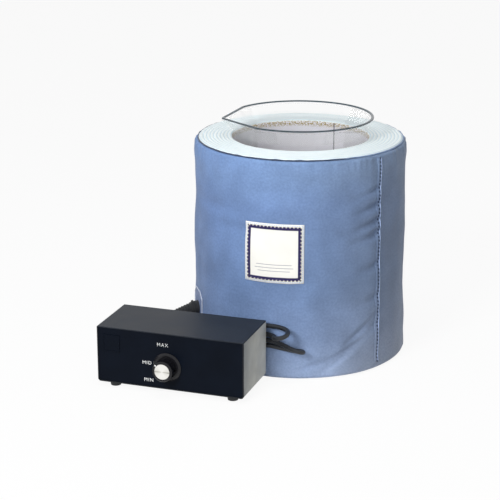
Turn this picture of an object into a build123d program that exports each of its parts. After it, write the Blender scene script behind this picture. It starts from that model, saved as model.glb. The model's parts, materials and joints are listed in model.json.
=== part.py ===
"""Soft heating mantle for a five litre beaker, with its beaker, power controller and leads.

Millimetres, +Z up. The origin is where the mantle's axis meets the floor. Front is -Y.
The controller stands in front of the mantle on the left, turned by BOX_YAW.
"""
from build123d import *
import math
import os

# ------------------------------------------------------------------ driving dimensions
# beaker, five litre low form
BEAKER_R = 85.0            # outside radius of the body
BEAKER_SEAT = 33.9         # foot above the floor
BEAKER_WALL = 2.6
BEAKER_FLOOR = 3.6
BEAKER_HEEL_R = 14.0       # outside radius of the foot's corner
RIM_R = 92.3               # outside radius of the flared rim
RIM_FLARE_H = 20.0         # height over which the wall flares
RIM_BEAD_R = 2.0           # fire-polished bead round the rim
SPOUT_REACH = 100.5        # axis to the tip of the spout
SPOUT_SPREAD = 44.0        # half of the rim's angle that the spout takes, degrees
SPOUT_TIP_W = 6.0          # half width of the rounded tip
SPOUT_TURN = 188.0         # direction of the spout from +X, degrees
RIM_STANDS_UP = 26.4       # rim above the mantle's top

# mantle jacket
MANTLE_H = 277.5
MANTLE_R_TOP = 132.5
MANTLE_R_FOOT = 134.8
COVER_T = 1.6              # coated glass cloth with its facing
FOOT_ROUND = 5.0
SHOULDER_ROUND = 4.0
FOOT_LIFT = 0.3            # turned-in hem above the floor
BASE_CLOTH_R = 122.0
RIDGE_COUNT = 9            # stitched rings on the top
RIDGE_PITCH = 4.3
RIDGE_H = 1.5
TOP_CLOTH_T = 2.2
PIPING_R = 1.5             # piped seam where the top meets the side
SEAM_TURN = -45.0          # vertical seam, degrees from +X
SEAM_W = 9.0
SEAM_T = 1.1
SOFT_GAP = 0.2             # between soft layers

# heater and insulation
WELL_CLEAR = 1.0           # glass to liner
LINER_T = 2.0
TAPE_T = 2.4               # woven heating tape
TAPE_W = 13.0
TAPE_TURNS = 5
TAPE_MARGIN = 24.0         # well floor to the lowest turn, well mouth to the highest
TOP_PAD_H = 9.0
LEAD_R = 1.6
LEAD_SIDE = 4.0            # each lead beside the inlet's axis

# sewn-on label field
LABEL_TURN = -105.2        # degrees from +X
LABEL_W = 73.0             # along the wall
LABEL_H = 73.0
LABEL_Z = 163.6            # middle of the field
LABEL_T = 0.9
LABEL_CLEAR = 0.1

# power inlet in the mantle's side
INLET_TURN = 194.0         # degrees from +X
INLET_Z = 57.0
INLET_DROOP = 12.0         # its axis sags outwards, degrees
INLET_R = 11.3
INLET_DEPTH = 24.0         # behind the wall
INLET_OUT = 4.2            # in front of the wall
FLANGE_R = 13.0
FLANGE_T = 2.0
PATCH_W = 40.0
PATCH_H = 54.0
PATCH_CHAMFER = 9.0
PATCH_T = 1.0
PLUG_R = 11.0
PLUG_LEN = 26.0
PLUG_RIBS = 6
PLUG_TAIL = 9.0            # strain relief behind the grip

# controller case
BOX_W, BOX_D, BOX_H = 188.0, 84.0, 71.0
BOX_REAR = (-222.4297, -75.8815)    # rear left corner on the floor plan, in front of the mantle
BOX_YAW = -18.8            # about +Z, degrees
SHEET = 1.2
BEND_R = 3.6               # outside bend under the case
LID_LIP = 10.0
PANEL_T = 1.6
PANEL_INSET = 0.8          # front panel behind the case's front edge
FIT = 0.15                 # sheet parts that slide past each other
FOOT_H = 7.1
FOOT_R_TOP, FOOT_R_BOTTOM = 7.6, 6.3
FOOT_INSET_X, FOOT_INSET_Y = 18.0, 13.0
BADGE_X, BADGE_Z = 7.7, 39.8    # lower left corner of the blank badge
BADGE_W, BADGE_H, BADGE_T = 21.5, 21.5, 0.8
VENT_COUNT = 8
VENT_START = 0.62         # share of the case's width
VENT_W, VENT_H, VENT_PITCH = 3.0, 16.0, 7.0

# dial
KNOB_X, KNOB_Z = 90.8, 28.6     # on the front panel, from the case's lower left corner
KNOB_SKIRT_R, KNOB_SKIRT_T = 18.0, 3.2
KNOB_GRIP_R, KNOB_GRIP_TOP_R = 13.6, 12.8
KNOB_LEN = 17.0
KNOB_FLUTES = 18
FLUTE_R = 1.5
KNOB_CLEAR = 0.6           # skirt to panel
CAP_R, CAP_T, CAP_SINK = 9.6, 1.2, 0.8
SHAFT_R = 3.0
SHAFT_FIT = 0.06           # shaft in its bush
BUSH_R, BUSH_LEN = 4.5, 9.0
POT_R, POT_LEN = 12.0, 14.0
KNOB_BORE_DEPTH = 12.0

# leads
CORD_R = 2.9
ELBOW_R = 6.2              # right-angled strain relief on the rear panel
ELBOW_TAIL = 22.0
ELBOW_NECK_R = 4.9         # through the rear panel
TAIL_LIP = 0.9             # strain relief's thin end, past the cord
ELBOW_FLANGE_R, ELBOW_FLANGE_T = 7.7, 2.0
ELBOW_T = 9.0              # tail's axis behind the rear panel
ELBOW_X = 56.0
HEATER_ELBOW_Z, MAINS_ELBOW_Z = 34.0, 18.0   # above the floor
COIL_CENTRE = (12.0, 100.0)     # behind the case: along it, and away from it
COIL_R_IN, COIL_R_OUT, COIL_H = 28.4, 40.0, 17.4
COIL_STUB = 24.0
COIL_SKIN = 0.3            # the coil's outer shape past its turns
MAINS_PLUG_R, MAINS_PLUG_LEN = 13.5, 26.0    # half thickness, and grip to face
MAINS_PLUG_HALF_W = 17.0
MAINS_TAIL = 20.0          # tapered strain relief
MAINS_PLUG_AT = (19.0, 38.0)    # tail end, behind the case
PIN_R, PIN_LEN, PIN_PITCH = 2.4, 19.0, 19.0

# screws, and the board with its parts
SCREW_R, SCREW_HOLE = 1.75, 2.0     # shank, and clearance hole in sheet
SCREW_HEAD_R, SCREW_HEAD_H, SCREW_HEAD_Z = 3.3, 2.3, 0.9    # sunk in the foot
SCREW_NUT_R, SCREW_NUT_H = 3.4, 2.4
GRUB_R, GRUB_LEN, GRUB_Z = 1.5, 5.5, 8.0
CONTROL_NUT_R, CONTROL_NUT_H, WASHER_R, WASHER_T = 6.3, 1.9, 6.6, 0.5
BOARD_LEFT, BOARD_RIGHT = 34.0, 38.0    # case's ends to the board
BOARD_FRONT, BOARD_BACK = 30.0, 8.0
BOARD_UNDER, BOARD_T = 9.0, 1.6
SINK_FROM = 62.0           # board's left end to the heat sink, past the terminals
SINK_RIGHT = 8.0
STANDOFF_INSET, STANDOFF_R, STUD_R, STUD_LEN = 6.0, 3.2, 1.5, 4.0
SINK_H, SINK_BACK, FIN_T, FIN_LEN, FIN_COUNT = 32.0, 3.0, 1.8, 11.0, 6
TRIAC_W, TRIAC_TAB_T, TRIAC_T = 10.0, 1.4, 3.2
CHOKE_R, CHOKE_WIRE_R = 8.0, 3.8
CAPACITOR = (20.0, 8.0, 15.0)
TERMINALS, TERMINAL_PITCH = 4, 7.5
TERMINAL_BLOCK = (30.0, 8.0, 11.0)
FUSE_R, FUSE_LEN, CLIP_W = 2.5, 20.0, 5.0

# ------------------------------------------------------------------ worked out
WELL_R = BEAKER_R + WELL_CLEAR
BEAKER_Z = BEAKER_SEAT
BEAKER_H = MANTLE_H + RIM_STANDS_UP - BEAKER_Z    # foot to rim, five litre low form
WELL_Z = BEAKER_Z - SOFT_GAP                     # top of the liner's floor
LINER_R = WELL_R + LINER_T
BASE_TOP = WELL_Z - LINER_T - SOFT_GAP           # top of the base insulation
TAPE_R = LINER_R + SOFT_GAP + TAPE_T / 2
BORE_R = TAPE_R + TAPE_T / 2 + 2 * LEAD_R + 2 * SOFT_GAP
TOP_RING_Z = MANTLE_H - RIDGE_H - TOP_CLOTH_T    # underside of the top cloth
PAD_Z = TOP_RING_Z - SOFT_GAP - TOP_PAD_H
BOX_Z = FOOT_H
TURN = math.radians(BOX_YAW)
BOX_CORNER = (BOX_REAR[0] + BOX_D * math.sin(TURN), BOX_REAR[1] - BOX_D * math.cos(TURN))
INNER_R_TOP = MANTLE_R_TOP - COVER_T - SOFT_GAP
INNER_R_FOOT = MANTLE_R_FOOT - COVER_T - SOFT_GAP
SHAFT_BACK = 4.0
BOARD_X = (BOARD_LEFT, BOX_W - BOARD_RIGHT)
BOARD_Y = (BOARD_FRONT, BOX_D - BOARD_BACK)
BOARD_Z = (BOARD_UNDER, BOARD_UNDER + BOARD_T)
BOARD_W, BOARD_D = BOARD_X[1] - BOARD_X[0], BOARD_Y[1] - BOARD_Y[0]
SINK_LEN = BOARD_W - SINK_FROM - SINK_RIGHT
SINK_Y = BOARD_D - 20.0    # its face, from the board's front edge


def wall_r(z):
    """Outside radius of the jacket at height z."""
    return MANTLE_R_FOOT + (MANTLE_R_TOP - MANTLE_R_FOOT) * z / MANTLE_H


def turned(points):
    """Ring with the closed profile given as (radius, z) points."""
    return revolve(Plane.XZ * make_face(Polyline(*points, close=True)), Axis.Z)


def ring(r_in, r_out, z_low, z_high):
    return Pos(0, 0, z_low) * extrude(Circle(r_out) - Circle(r_in), z_high - z_low)


def disc(radius, z_low, z_high):
    return Pos(0, 0, z_low) * extrude(Circle(radius), z_high - z_low)


def box(x, y, z):
    """Box from three (low, high) pairs."""
    low = (x[0], y[0], z[0])
    return Pos(*low) * Box(x[1] - x[0], y[1] - y[0], z[1] - z[0], align=Align.MIN)


def group(shapes):
    """One node of several separate solids."""
    return Compound([solid for shape in shapes for solid in shape.solids()])


# ------------------------------------------------------------------ beaker
def spout_section(radius, reach, z):
    """Closed outline: a circle whose front runs straight to a rounded tip at reach."""
    a = math.radians(SPOUT_SPREAD)
    side = Vector(radius * math.cos(a), radius * math.sin(a))
    tip_side = Vector(reach - SPOUT_TIP_W * 0.35, SPOUT_TIP_W)
    back = ThreePointArc(side, (-radius, 0), (side.X, -side.Y))
    left = Line((side.X, -side.Y), (tip_side.X, -tip_side.Y))
    tip = ThreePointArc((tip_side.X, -tip_side.Y), (reach, 0), tip_side)
    return Pos(0, 0, z) * Wire([back, left, tip, Line(tip_side, side)])


def round_section(radius, z):
    """A circle cut at the same places as the spout's outline."""
    a = math.radians(SPOUT_SPREAD)
    b = math.asin(SPOUT_TIP_W / radius)

    def at(angle):
        return (radius * math.cos(angle), radius * math.sin(angle))

    arcs = [ThreePointArc(at(a), at(math.pi), at(-a)), ThreePointArc(at(-a), at(-(a + b) / 2), at(-b)),
            ThreePointArc(at(-b), at(0), at(b)), ThreePointArc(at(b), at((a + b) / 2), at(a))]
    return Pos(0, 0, z) * Wire(arcs)


def flare(inset, z_low, z_high):
    """Solid flare of the beaker's mouth, its skin inset from the outside."""
    low = make_face(round_section(BEAKER_R - inset, z_low))
    high = make_face(spout_section(RIM_R - inset, SPOUT_REACH - inset, z_high))
    return loft([low, high], ruled=True)


def rim_band():
    """Thickened fire-polished lip round the mouth."""
    band_h = 2 * RIM_BEAD_R
    outer = make_face(spout_section(RIM_R, SPOUT_REACH, 0))
    inner = make_face(spout_section(RIM_R - band_h, SPOUT_REACH - band_h, 0))
    band = extrude(outer - inner, band_h)
    return Pos(0, 0, BEAKER_H - band_h) * fillet(band.edges().group_by(Axis.Z)[-1], RIM_BEAD_R * 0.8)


def beaker():
    neck, lip = BEAKER_H - RIM_FLARE_H, BEAKER_H - 2 * RIM_BEAD_R
    body = fillet(disc(BEAKER_R, 0, neck).edges().group_by(Axis.Z)[0], BEAKER_HEEL_R)
    hollow = disc(BEAKER_R - BEAKER_WALL, BEAKER_FLOOR, neck)
    hollow = fillet(hollow.edges().group_by(Axis.Z)[0], BEAKER_HEEL_R - BEAKER_WALL)
    glass = body - hollow + (flare(0, neck, lip) - flare(BEAKER_WALL, neck, lip)) + rim_band()
    return Pos(0, 0, BEAKER_Z) * Rot(0, 0, SPOUT_TURN) * glass


# ------------------------------------------------------------------ mantle jacket
def cover_outline(inset, z_low, z_high):
    """Half section of the jacket's outside, inset by a wall, as a list of edges from foot to shoulder."""
    r_foot, r_top = wall_r(FOOT_ROUND) - inset, wall_r(z_high) - inset
    k = math.sqrt(0.5)
    corner = (r_foot - FOOT_ROUND * (1 - k), z_low + FOOT_ROUND * (1 - k))
    foot = ThreePointArc((r_foot - FOOT_ROUND, z_low), corner, (r_foot, z_low + FOOT_ROUND))
    shoulder_low = (r_top, z_high - SHOULDER_ROUND)
    wall = Line((r_foot, z_low + FOOT_ROUND), shoulder_low)
    knee = (r_top - SHOULDER_ROUND * (1 - k) * 0.8, z_high - SHOULDER_ROUND * (1 - k))
    shoulder = ThreePointArc(shoulder_low, knee, (r_top - SHOULDER_ROUND * 0.8, z_high))
    return [foot, wall, shoulder]


def side_cover():
    z_high = TOP_RING_Z + TOP_CLOTH_T
    outer = cover_outline(0, FOOT_LIFT, z_high)
    inner = cover_outline(COVER_T, FOOT_LIFT + COVER_T, z_high - COVER_T)
    hem_out = (BASE_CLOTH_R + SOFT_GAP, FOOT_LIFT)
    hem_in = (BASE_CLOTH_R + SOFT_GAP, FOOT_LIFT + COVER_T)
    edges = [Line(hem_out, outer[0] @ 0), *outer, Line(outer[2] @ 1, inner[2] @ 1), *inner,
             Line(inner[0] @ 0, hem_in), Line(hem_in, hem_out)]
    shell = revolve(Plane.XZ * make_face(edges), Axis.Z)
    shell = shell + seam_flap(z_high)
    return shell - inlet_axis() * Pos(0, 0, -40) * extrude(Circle(INLET_R + SOFT_GAP), 80)


def seam_flap(z_high):
    """Felled vertical seam: a doubled strip standing proud of the wall."""
    low, high = FOOT_ROUND + 3, z_high - SHOULDER_ROUND - 2
    half = math.degrees(SEAM_W / 2 / MANTLE_R_FOOT)
    strip = turned([(wall_r(low) - COVER_T / 2, low), (wall_r(low) + SEAM_T, low),
                    (wall_r(high) + SEAM_T, high), (wall_r(high) - COVER_T / 2, high)])
    return strip & wedge(SEAM_TURN, half)


def wedge(turn, half_angle):
    """Tall sector of space about the axis, turn degrees from +X, half_angle to each side."""
    reach = 2 * MANTLE_R_FOOT
    a = math.radians(half_angle)
    side = (reach * math.cos(a), reach * math.sin(a))
    sector = make_face(Polyline((0, 0), side, (side[0], -side[1]), close=True))
    return Rot(0, 0, turn) * extrude(sector, MANTLE_H)


def base_cover():
    return disc(BASE_CLOTH_R, 0, COVER_T)


def top_cover():
    """Annular top cloth, quilted in rings by circular stitching."""
    outer = wall_r(MANTLE_H) - COVER_T - SHOULDER_ROUND * 0.8 - SOFT_GAP
    base_z = TOP_RING_Z + TOP_CLOTH_T
    first = outer - RIDGE_COUNT * RIDGE_PITCH
    arcs = []
    for i in range(RIDGE_COUNT):
        r0, r1 = first + i * RIDGE_PITCH, first + (i + 1) * RIDGE_PITCH
        arcs.append(ThreePointArc((r0, base_z), ((r0 + r1) / 2, base_z + RIDGE_H), (r1, base_z)))
    inner = LINER_R + SOFT_GAP
    sides = [Line((outer, base_z), (outer, TOP_RING_Z)), Line((outer, TOP_RING_Z), (inner, TOP_RING_Z)),
             Line((inner, TOP_RING_Z), (inner, base_z)), Line((inner, base_z), (first, base_z))]
    return revolve(Plane.XZ * make_face(arcs + sides), Axis.Z)


def top_piping():
    """Cord of cloth sewn into the seam between the top and the side."""
    r = wall_r(MANTLE_H) - SHOULDER_ROUND * 0.8 - COVER_T / 2
    z = TOP_RING_Z + TOP_CLOTH_T + PIPING_R
    return revolve(Plane.XZ * Pos(r, z) * Circle(PIPING_R), Axis.Z)


def label_field():
    low, high = LABEL_Z - LABEL_H / 2, LABEL_Z + LABEL_H / 2
    inside = LABEL_CLEAR
    outside = LABEL_CLEAR + LABEL_T
    sheet = turned([(wall_r(low) + inside, low), (wall_r(low) + outside, low),
                    (wall_r(high) + outside, high), (wall_r(high) + inside, high)])
    return sheet & wedge(LABEL_TURN, math.degrees(LABEL_W / 2 / wall_r(LABEL_Z)))


# ------------------------------------------------------------------ heater and insulation
def heater_liner():
    """Knitted glass bag that holds the beaker."""
    outer = fillet(disc(LINER_R, WELL_Z - LINER_T, MANTLE_H - 1).edges().group_by(Axis.Z)[0], BEAKER_HEEL_R)
    inner = fillet(disc(WELL_R, WELL_Z, MANTLE_H).edges().group_by(Axis.Z)[0], BEAKER_HEEL_R - LINER_T)
    return outer - inner


def heating_tape():
    """Flat woven heating tape wound round the liner."""
    low = WELL_Z + TAPE_MARGIN
    height = PAD_Z - TAPE_MARGIN - low
    path = Helix(pitch=height / TAPE_TURNS, height=height, radius=TAPE_R)
    start = Plane(origin=path @ 0, x_dir=(1, 0, 0), z_dir=path % 0)
    band = sweep(start * Rectangle(TAPE_T, TAPE_W), path=path, is_frenet=True)
    return Rot(0, 0, INLET_TURN) * Pos(0, 0, low) * band


def rod(start, end, radius):
    """Round bar between two points."""
    start, end = Vector(start), Vector(end)
    return Plane(origin=start, z_dir=end - start) * extrude(Circle(radius), (end - start).length)


def tape_leads():
    """Two sleeved tails from the ends of the tape, outside the winding, to the back of the inlet."""
    lead_at = math.sqrt((TAPE_R + TAPE_T / 2 + SOFT_GAP + LEAD_R) ** 2 - LEAD_SIDE ** 2)
    run = (wall_r(INLET_Z) - lead_at) / math.cos(math.radians(INLET_DROOP)) - INLET_DEPTH
    low, high = WELL_Z + TAPE_MARGIN, PAD_Z - TAPE_MARGIN
    tails = []
    for side, end_z in ((-LEAD_SIDE, low), (LEAD_SIDE, high)):
        at_inlet = (inlet_axis() * Pos(0, side, -INLET_DEPTH)).position
        knee = (inlet_axis() * Pos(0, side, -INLET_DEPTH - run)).position
        tail = rod(knee, at_inlet, LEAD_R) + rod(knee, (knee.X, knee.Y, end_z), LEAD_R)
        tails.append(tail + Pos(knee) * Sphere(LEAD_R))
    return group(tails)


def side_insulation():
    """Ceramic fibre blanket between the heater and the jacket."""
    blanket = turned([(BORE_R, BASE_TOP), (INNER_R_FOOT - 1, BASE_TOP),
                      (wall_r(PAD_Z) - COVER_T - SOFT_GAP, PAD_Z), (BORE_R, PAD_Z)])
    return blanket - inlet_axis() * Pos(0, 0, -INLET_DEPTH - 30) * extrude(Circle(INLET_R + 1), 60)


def base_insulation():
    pad = disc(wall_r(FOOT_ROUND) - COVER_T - 2 * SOFT_GAP, FOOT_LIFT + COVER_T + SOFT_GAP, BASE_TOP)
    return fillet(pad.edges().group_by(Axis.Z)[0], FOOT_ROUND)


def top_pad():
    return ring(BORE_R, INNER_R_TOP - SHOULDER_ROUND * 0.5, PAD_Z, PAD_Z + TOP_PAD_H)


# ------------------------------------------------------------------ inlet and its plug
def inlet_axis():
    """Frame at the jacket's wall: its Z points out along the sagging inlet."""
    a, droop = math.radians(INLET_TURN), math.radians(INLET_DROOP)
    out = Vector(math.cos(a) * math.cos(droop), math.sin(a) * math.cos(droop), -math.sin(droop))
    foot = Vector(wall_r(INLET_Z) * math.cos(a), wall_r(INLET_Z) * math.sin(a), INLET_Z)
    return Plane(origin=foot, x_dir=(0, 0, 1), z_dir=out).location


def inlet_patch():
    """Doubled cloth that stiffens the wall round the inlet, its top corners cut off."""
    low, high = INLET_Z - PATCH_H / 2, INLET_Z + PATCH_H / 2
    sheet = turned([(wall_r(low) + LABEL_CLEAR, low), (wall_r(low) + LABEL_CLEAR + PATCH_T, low),
                    (wall_r(high) + LABEL_CLEAR + PATCH_T, high), (wall_r(high) + LABEL_CLEAR, high)])
    outline = Pos(0, INLET_Z) * Rectangle(PATCH_W, PATCH_H)
    outline = chamfer(outline.vertices().group_by(Axis.Y)[-1], PATCH_CHAMFER)
    a = math.radians(INLET_TURN)
    along, out = (-math.sin(a), math.cos(a), 0), (math.cos(a), math.sin(a), 0)
    facing = Plane(origin=(0, 0, 0), x_dir=along, z_dir=out)
    block = extrude(facing * outline, 2 * MANTLE_R_FOOT)
    hole = inlet_axis() * Pos(0, 0, -20) * extrude(Circle(INLET_R + SOFT_GAP), 40)
    return (sheet & block) - hole


def inlet_socket():
    """Round appliance inlet: a barrel in the blanket, and a flange that meets the plug."""
    barrel = Pos(0, 0, -INLET_DEPTH) * extrude(Circle(INLET_R), INLET_DEPTH + INLET_OUT)
    flange = Pos(0, 0, INLET_OUT) * extrude(Circle(FLANGE_R), FLANGE_T)
    return inlet_axis() * (barrel + flange)


def plug_tail_end():
    """Where the lead leaves the mantle's plug, and its direction there."""
    frame = inlet_axis() * Pos(0, 0, INLET_OUT + FLANGE_T + PLUG_LEN + PLUG_TAIL)
    plane = Plane(frame)
    return plane.origin, plane.z_dir


def mantle_plug():
    """Moulded plug: ribbed grip that narrows into a strain relief."""
    z0 = INLET_OUT + FLANGE_T
    steps = [(0, z0), (PLUG_R, z0)]
    for i in range(PLUG_RIBS):
        taper = PLUG_R * (1 - 0.30 * i / PLUG_RIBS)
        rib = z0 + 3 + (PLUG_LEN - 4) * i / PLUG_RIBS
        width = (PLUG_LEN - 4) / PLUG_RIBS
        steps += [(taper, rib), (taper - 1.1, rib + 0.3 * width), (taper - 1.1, rib + 0.7 * width)]
    steps += [(PLUG_R * 0.66, z0 + PLUG_LEN), (CORD_R + 1.6, z0 + PLUG_LEN + 1),
              (CORD_R + 0.6, z0 + PLUG_LEN + PLUG_TAIL), (0, z0 + PLUG_LEN + PLUG_TAIL)]
    return inlet_axis() * turned(steps)


# ------------------------------------------------------------------ controller
def case_frame():
    """Controller's own frame: X along its front, Y to its back, Z up from its underside."""
    return Location((*BOX_CORNER, BOX_Z), (0, 0, BOX_YAW))


def folded(width, height, sheet, bend, depth):
    """Channel folded from sheet, open at the top, its outside width by height."""
    outline = fillet(Rectangle(width, 2 * height).vertices().group_by(Axis.Y)[0], bend)
    inside = fillet(Rectangle(width - 2 * sheet, 2 * height - 2 * sheet).vertices().group_by(Axis.Y)[0],
                    bend - sheet)
    lower = Pos(0, -height / 2) * Rectangle(2 * width, height)
    section = (outline - inside) & lower
    return Pos(width / 2, depth, height) * Rot(90, 0, 0) * extrude(section, depth)


def case_body():
    """Bottom and both sides, folded from one sheet, with holes for the feet's screws."""
    body = folded(BOX_W, BOX_H - SHEET, SHEET, BEND_R, BOX_D)
    for x, y in foot_places():
        body -= Pos(x, y, -1) * extrude(Circle(SCREW_HOLE), 2 + SHEET)
    return body


def case_lid():
    """Top sheet, its side lips folded down inside the body and a lip over the rear panel."""
    top = box((0, BOX_W), (0, BOX_D), (BOX_H - SHEET, BOX_H))
    top = fillet(top.edges().filter_by(Axis.Y).group_by(Axis.Z)[-1], SHEET * 0.8)
    lips = []
    for x in (SHEET + FIT, BOX_W - 2 * SHEET - FIT):
        lips.append(box((x, x + SHEET), (3, BOX_D - 3), (BOX_H - LID_LIP, BOX_H - SHEET)))
    return top + lips


def front_panel():
    low, side = SHEET + FIT, SHEET + FIT
    plate = box((side, BOX_W - side), (PANEL_INSET, PANEL_INSET + PANEL_T), (low, BOX_H - SHEET - FIT))
    plate = chamfer(plate.edges().filter_by(Axis.Y).group_by(Axis.Z)[0], BEND_R - SHEET)
    return plate - dial_frame() * Pos(0, 0, -5) * extrude(Circle(BUSH_R + 0.1), 10)


def rear_panel():
    side = SHEET + FIT
    plate = box((side, BOX_W - side), (BOX_D - SHEET, BOX_D), (side, BOX_H - SHEET - FIT))
    plate = chamfer(plate.edges().filter_by(Axis.Y).group_by(Axis.Z)[0], BEND_R - SHEET)
    for z in (HEATER_ELBOW_Z, MAINS_ELBOW_Z):
        plate -= Pos(ELBOW_X, BOX_D + 1, z - BOX_Z) * Rot(90, 0, 0) * extrude(Circle(ELBOW_NECK_R + 0.1), 4)
    for i in range(VENT_COUNT):
        slot = extrude(SlotOverall(VENT_H, VENT_W, rotation=90), 3, both=True)
        plate -= Pos(BOX_W * VENT_START + i * VENT_PITCH, BOX_D, BOX_H / 2) * Rot(90, 0, 0) * slot
    return plate


def badge_plate():
    """Blank square badge with a raised border."""
    z = (BADGE_Z, BADGE_Z + BADGE_H)
    plate = box((BADGE_X, BADGE_X + BADGE_W), (PANEL_INSET - BADGE_T, PANEL_INSET), z)
    rim = 1.2
    field = box((BADGE_X + rim, BADGE_X + BADGE_W - rim), (PANEL_INSET - BADGE_T, PANEL_INSET - BADGE_T / 2),
                (z[0] + rim, z[1] - rim))
    return plate - field


def foot_places():
    xs = (FOOT_INSET_X, BOX_W - FOOT_INSET_X)
    ys = (FOOT_INSET_Y, BOX_D - FOOT_INSET_Y)
    return [(x, y) for y in ys for x in xs]


def foot(x, y):
    """Tapered rubber foot with a sunk hole for its screw."""
    on_floor = (Align.CENTER, Align.CENTER, Align.MIN)
    body = Cone(FOOT_R_BOTTOM, FOOT_R_TOP, FOOT_H, align=on_floor)
    body -= extrude(Circle(SCREW_HEAD_R + 0.3), SCREW_HEAD_Z + SCREW_HEAD_H)
    return Pos(x, y, -FOOT_H) * (body - extrude(Circle(SCREW_R + 0.15), FOOT_H))


def foot_screws():
    screws = []
    for x, y in foot_places():
        seat = SCREW_HEAD_Z + SCREW_HEAD_H
        head = Pos(0, 0, SCREW_HEAD_Z - FOOT_H) * extrude(Circle(SCREW_HEAD_R), SCREW_HEAD_H)
        shank = Pos(0, 0, seat - FOOT_H) * extrude(Circle(SCREW_R), FOOT_H - seat + SHEET + 0.6)
        nut = Pos(0, 0, SHEET) * extrude(RegularPolygon(SCREW_NUT_R, 6), SCREW_NUT_H)
        screws.append(Pos(x, y, 0) * (head + shank + nut))
    return group(screws)


# ------------------------------------------------------------------ dial
def dial_frame():
    """Frame on the front panel's face at the dial's centre: Z points out of the panel."""
    return Pos(KNOB_X, PANEL_INSET, KNOB_Z) * Rot(90, 0, 0)


def knob_body():
    z0, top = KNOB_CLEAR, KNOB_CLEAR + KNOB_LEN
    skirt = turned([(0, z0), (KNOB_SKIRT_R, z0), (KNOB_SKIRT_R, z0 + 0.8),
                    (KNOB_SKIRT_R - 2.2, z0 + KNOB_SKIRT_T), (0, z0 + KNOB_SKIRT_T)])
    cone = turned([(0, z0 + 1), (KNOB_GRIP_R, z0 + 1), (KNOB_GRIP_TOP_R, top - 0.8),
                   (KNOB_GRIP_TOP_R - 0.8, top), (0, top)])
    fluted = Circle(KNOB_GRIP_R + 1) - PolarLocations(KNOB_GRIP_R + 0.7, KNOB_FLUTES) * Circle(FLUTE_R)
    grip = cone & extrude(fluted, top + 1)
    seat = disc(CAP_R + 0.05, top - CAP_SINK, top + 1)
    bore = Pos(0, 0, z0) * extrude(Circle(SHAFT_R + 0.05), KNOB_BORE_DEPTH)
    nut_room = Pos(0, 0, z0) * extrude(Circle(BUSH_R * 1.6), KNOB_SKIRT_T - 0.2)
    screw = Pos(0, 0, z0 + GRUB_Z) * Rot(0, 90, 0) * extrude(Circle(GRUB_R + 0.05), KNOB_SKIRT_R)
    return dial_frame() * (skirt + grip - seat - bore - nut_room - screw)


def knob_cap():
    z = KNOB_CLEAR + KNOB_LEN - CAP_SINK
    cap = disc(CAP_R, z, z + CAP_T)
    return dial_frame() * chamfer(cap.edges().group_by(Axis.Z)[-1], 0.3)


def knob_screw():
    """Grub screw that grips the shaft."""
    screw = Pos(SHAFT_R, 0, KNOB_CLEAR + GRUB_Z) * Rot(0, 90, 0) * extrude(Circle(GRUB_R), GRUB_LEN)
    key = extrude(RegularPolygon(0.8, 6), 2)
    socket = Pos(SHAFT_R + GRUB_LEN - 1.5, 0, KNOB_CLEAR + GRUB_Z) * Rot(0, 90, 0) * key
    return dial_frame() * (screw - socket)


def dial_shaft():
    return dial_frame() * disc(SHAFT_R, -PANEL_T - SHAFT_BACK, KNOB_CLEAR + KNOB_BORE_DEPTH)


def dial_control():
    """Rotary control behind the panel, with the bush that its shaft turns in."""
    body = disc(POT_R, -PANEL_T - 1 - POT_LEN, -PANEL_T - 1)
    bush = disc(BUSH_R, -PANEL_T - 1, -PANEL_T - 1 + BUSH_LEN - 4)
    tag_z = (-PANEL_T - 8, -PANEL_T - 7)
    tags = [box((x - 1.2, x + 1.2), (-POT_R - 5, -POT_R + 1), tag_z) for x in (-5, 0, 5)]
    solid = body + bush + tags
    return dial_frame() * (solid - disc(SHAFT_R + SHAFT_FIT, -PANEL_T - SHAFT_BACK - 0.3, BUSH_LEN))


def dial_nut():
    """Hexagon nut and washer that hold the control to the panel."""
    nut = Pos(0, 0, WASHER_T) * extrude(RegularPolygon(CONTROL_NUT_R, 6), CONTROL_NUT_H)
    washer = disc(WASHER_R, 0, WASHER_T)
    return dial_frame() * (nut + washer - disc(BUSH_R + 0.05, -1, 4))


# ------------------------------------------------------------------ inside the case
def on_board(x, y, z):
    """Block on the board: x from its left end, y from its front edge, z above its face; each (low, high)."""
    corner = (BOARD_X[0], BOARD_Y[0], BOARD_Z[1])
    return box(*[(near + a, near + b) for near, (a, b) in zip(corner, (x, y, z))])


def circuit_board():
    board = box(BOARD_X, BOARD_Y, BOARD_Z)
    for x, y in standoff_places():
        board -= Pos(x, y, BOARD_Z[0] - 1) * extrude(Circle(STUD_R + 0.2), 4)
    return board


def standoff_places():
    xs = (BOARD_X[0] + STANDOFF_INSET, BOARD_X[1] - STANDOFF_INSET)
    ys = (BOARD_Y[0] + STANDOFF_INSET, BOARD_Y[1] - STANDOFF_INSET)
    return [(x, y) for x in xs for y in ys]


def board_standoffs():
    posts = []
    for x, y in standoff_places():
        post = Pos(x, y, SHEET) * extrude(RegularPolygon(STANDOFF_R, 6), BOARD_Z[0] - SHEET)
        stud = Pos(x, y, BOARD_Z[0]) * extrude(Circle(STUD_R), STUD_LEN)
        posts.append(post + stud)
    return group(posts)


def heat_sink():
    """Finned aluminium bar standing on the board."""
    x0, y0 = SINK_FROM, SINK_Y
    sink = on_board((x0, x0 + SINK_LEN), (y0, y0 + SINK_BACK), (0, SINK_H))
    for i in range(FIN_COUNT):
        x = x0 + 1 + i * (SINK_LEN - 3) / (FIN_COUNT - 1)
        sink += on_board((x, x + FIN_T), (y0 + SINK_BACK, y0 + SINK_BACK + FIN_LEN), (0, SINK_H))
    return sink


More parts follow.
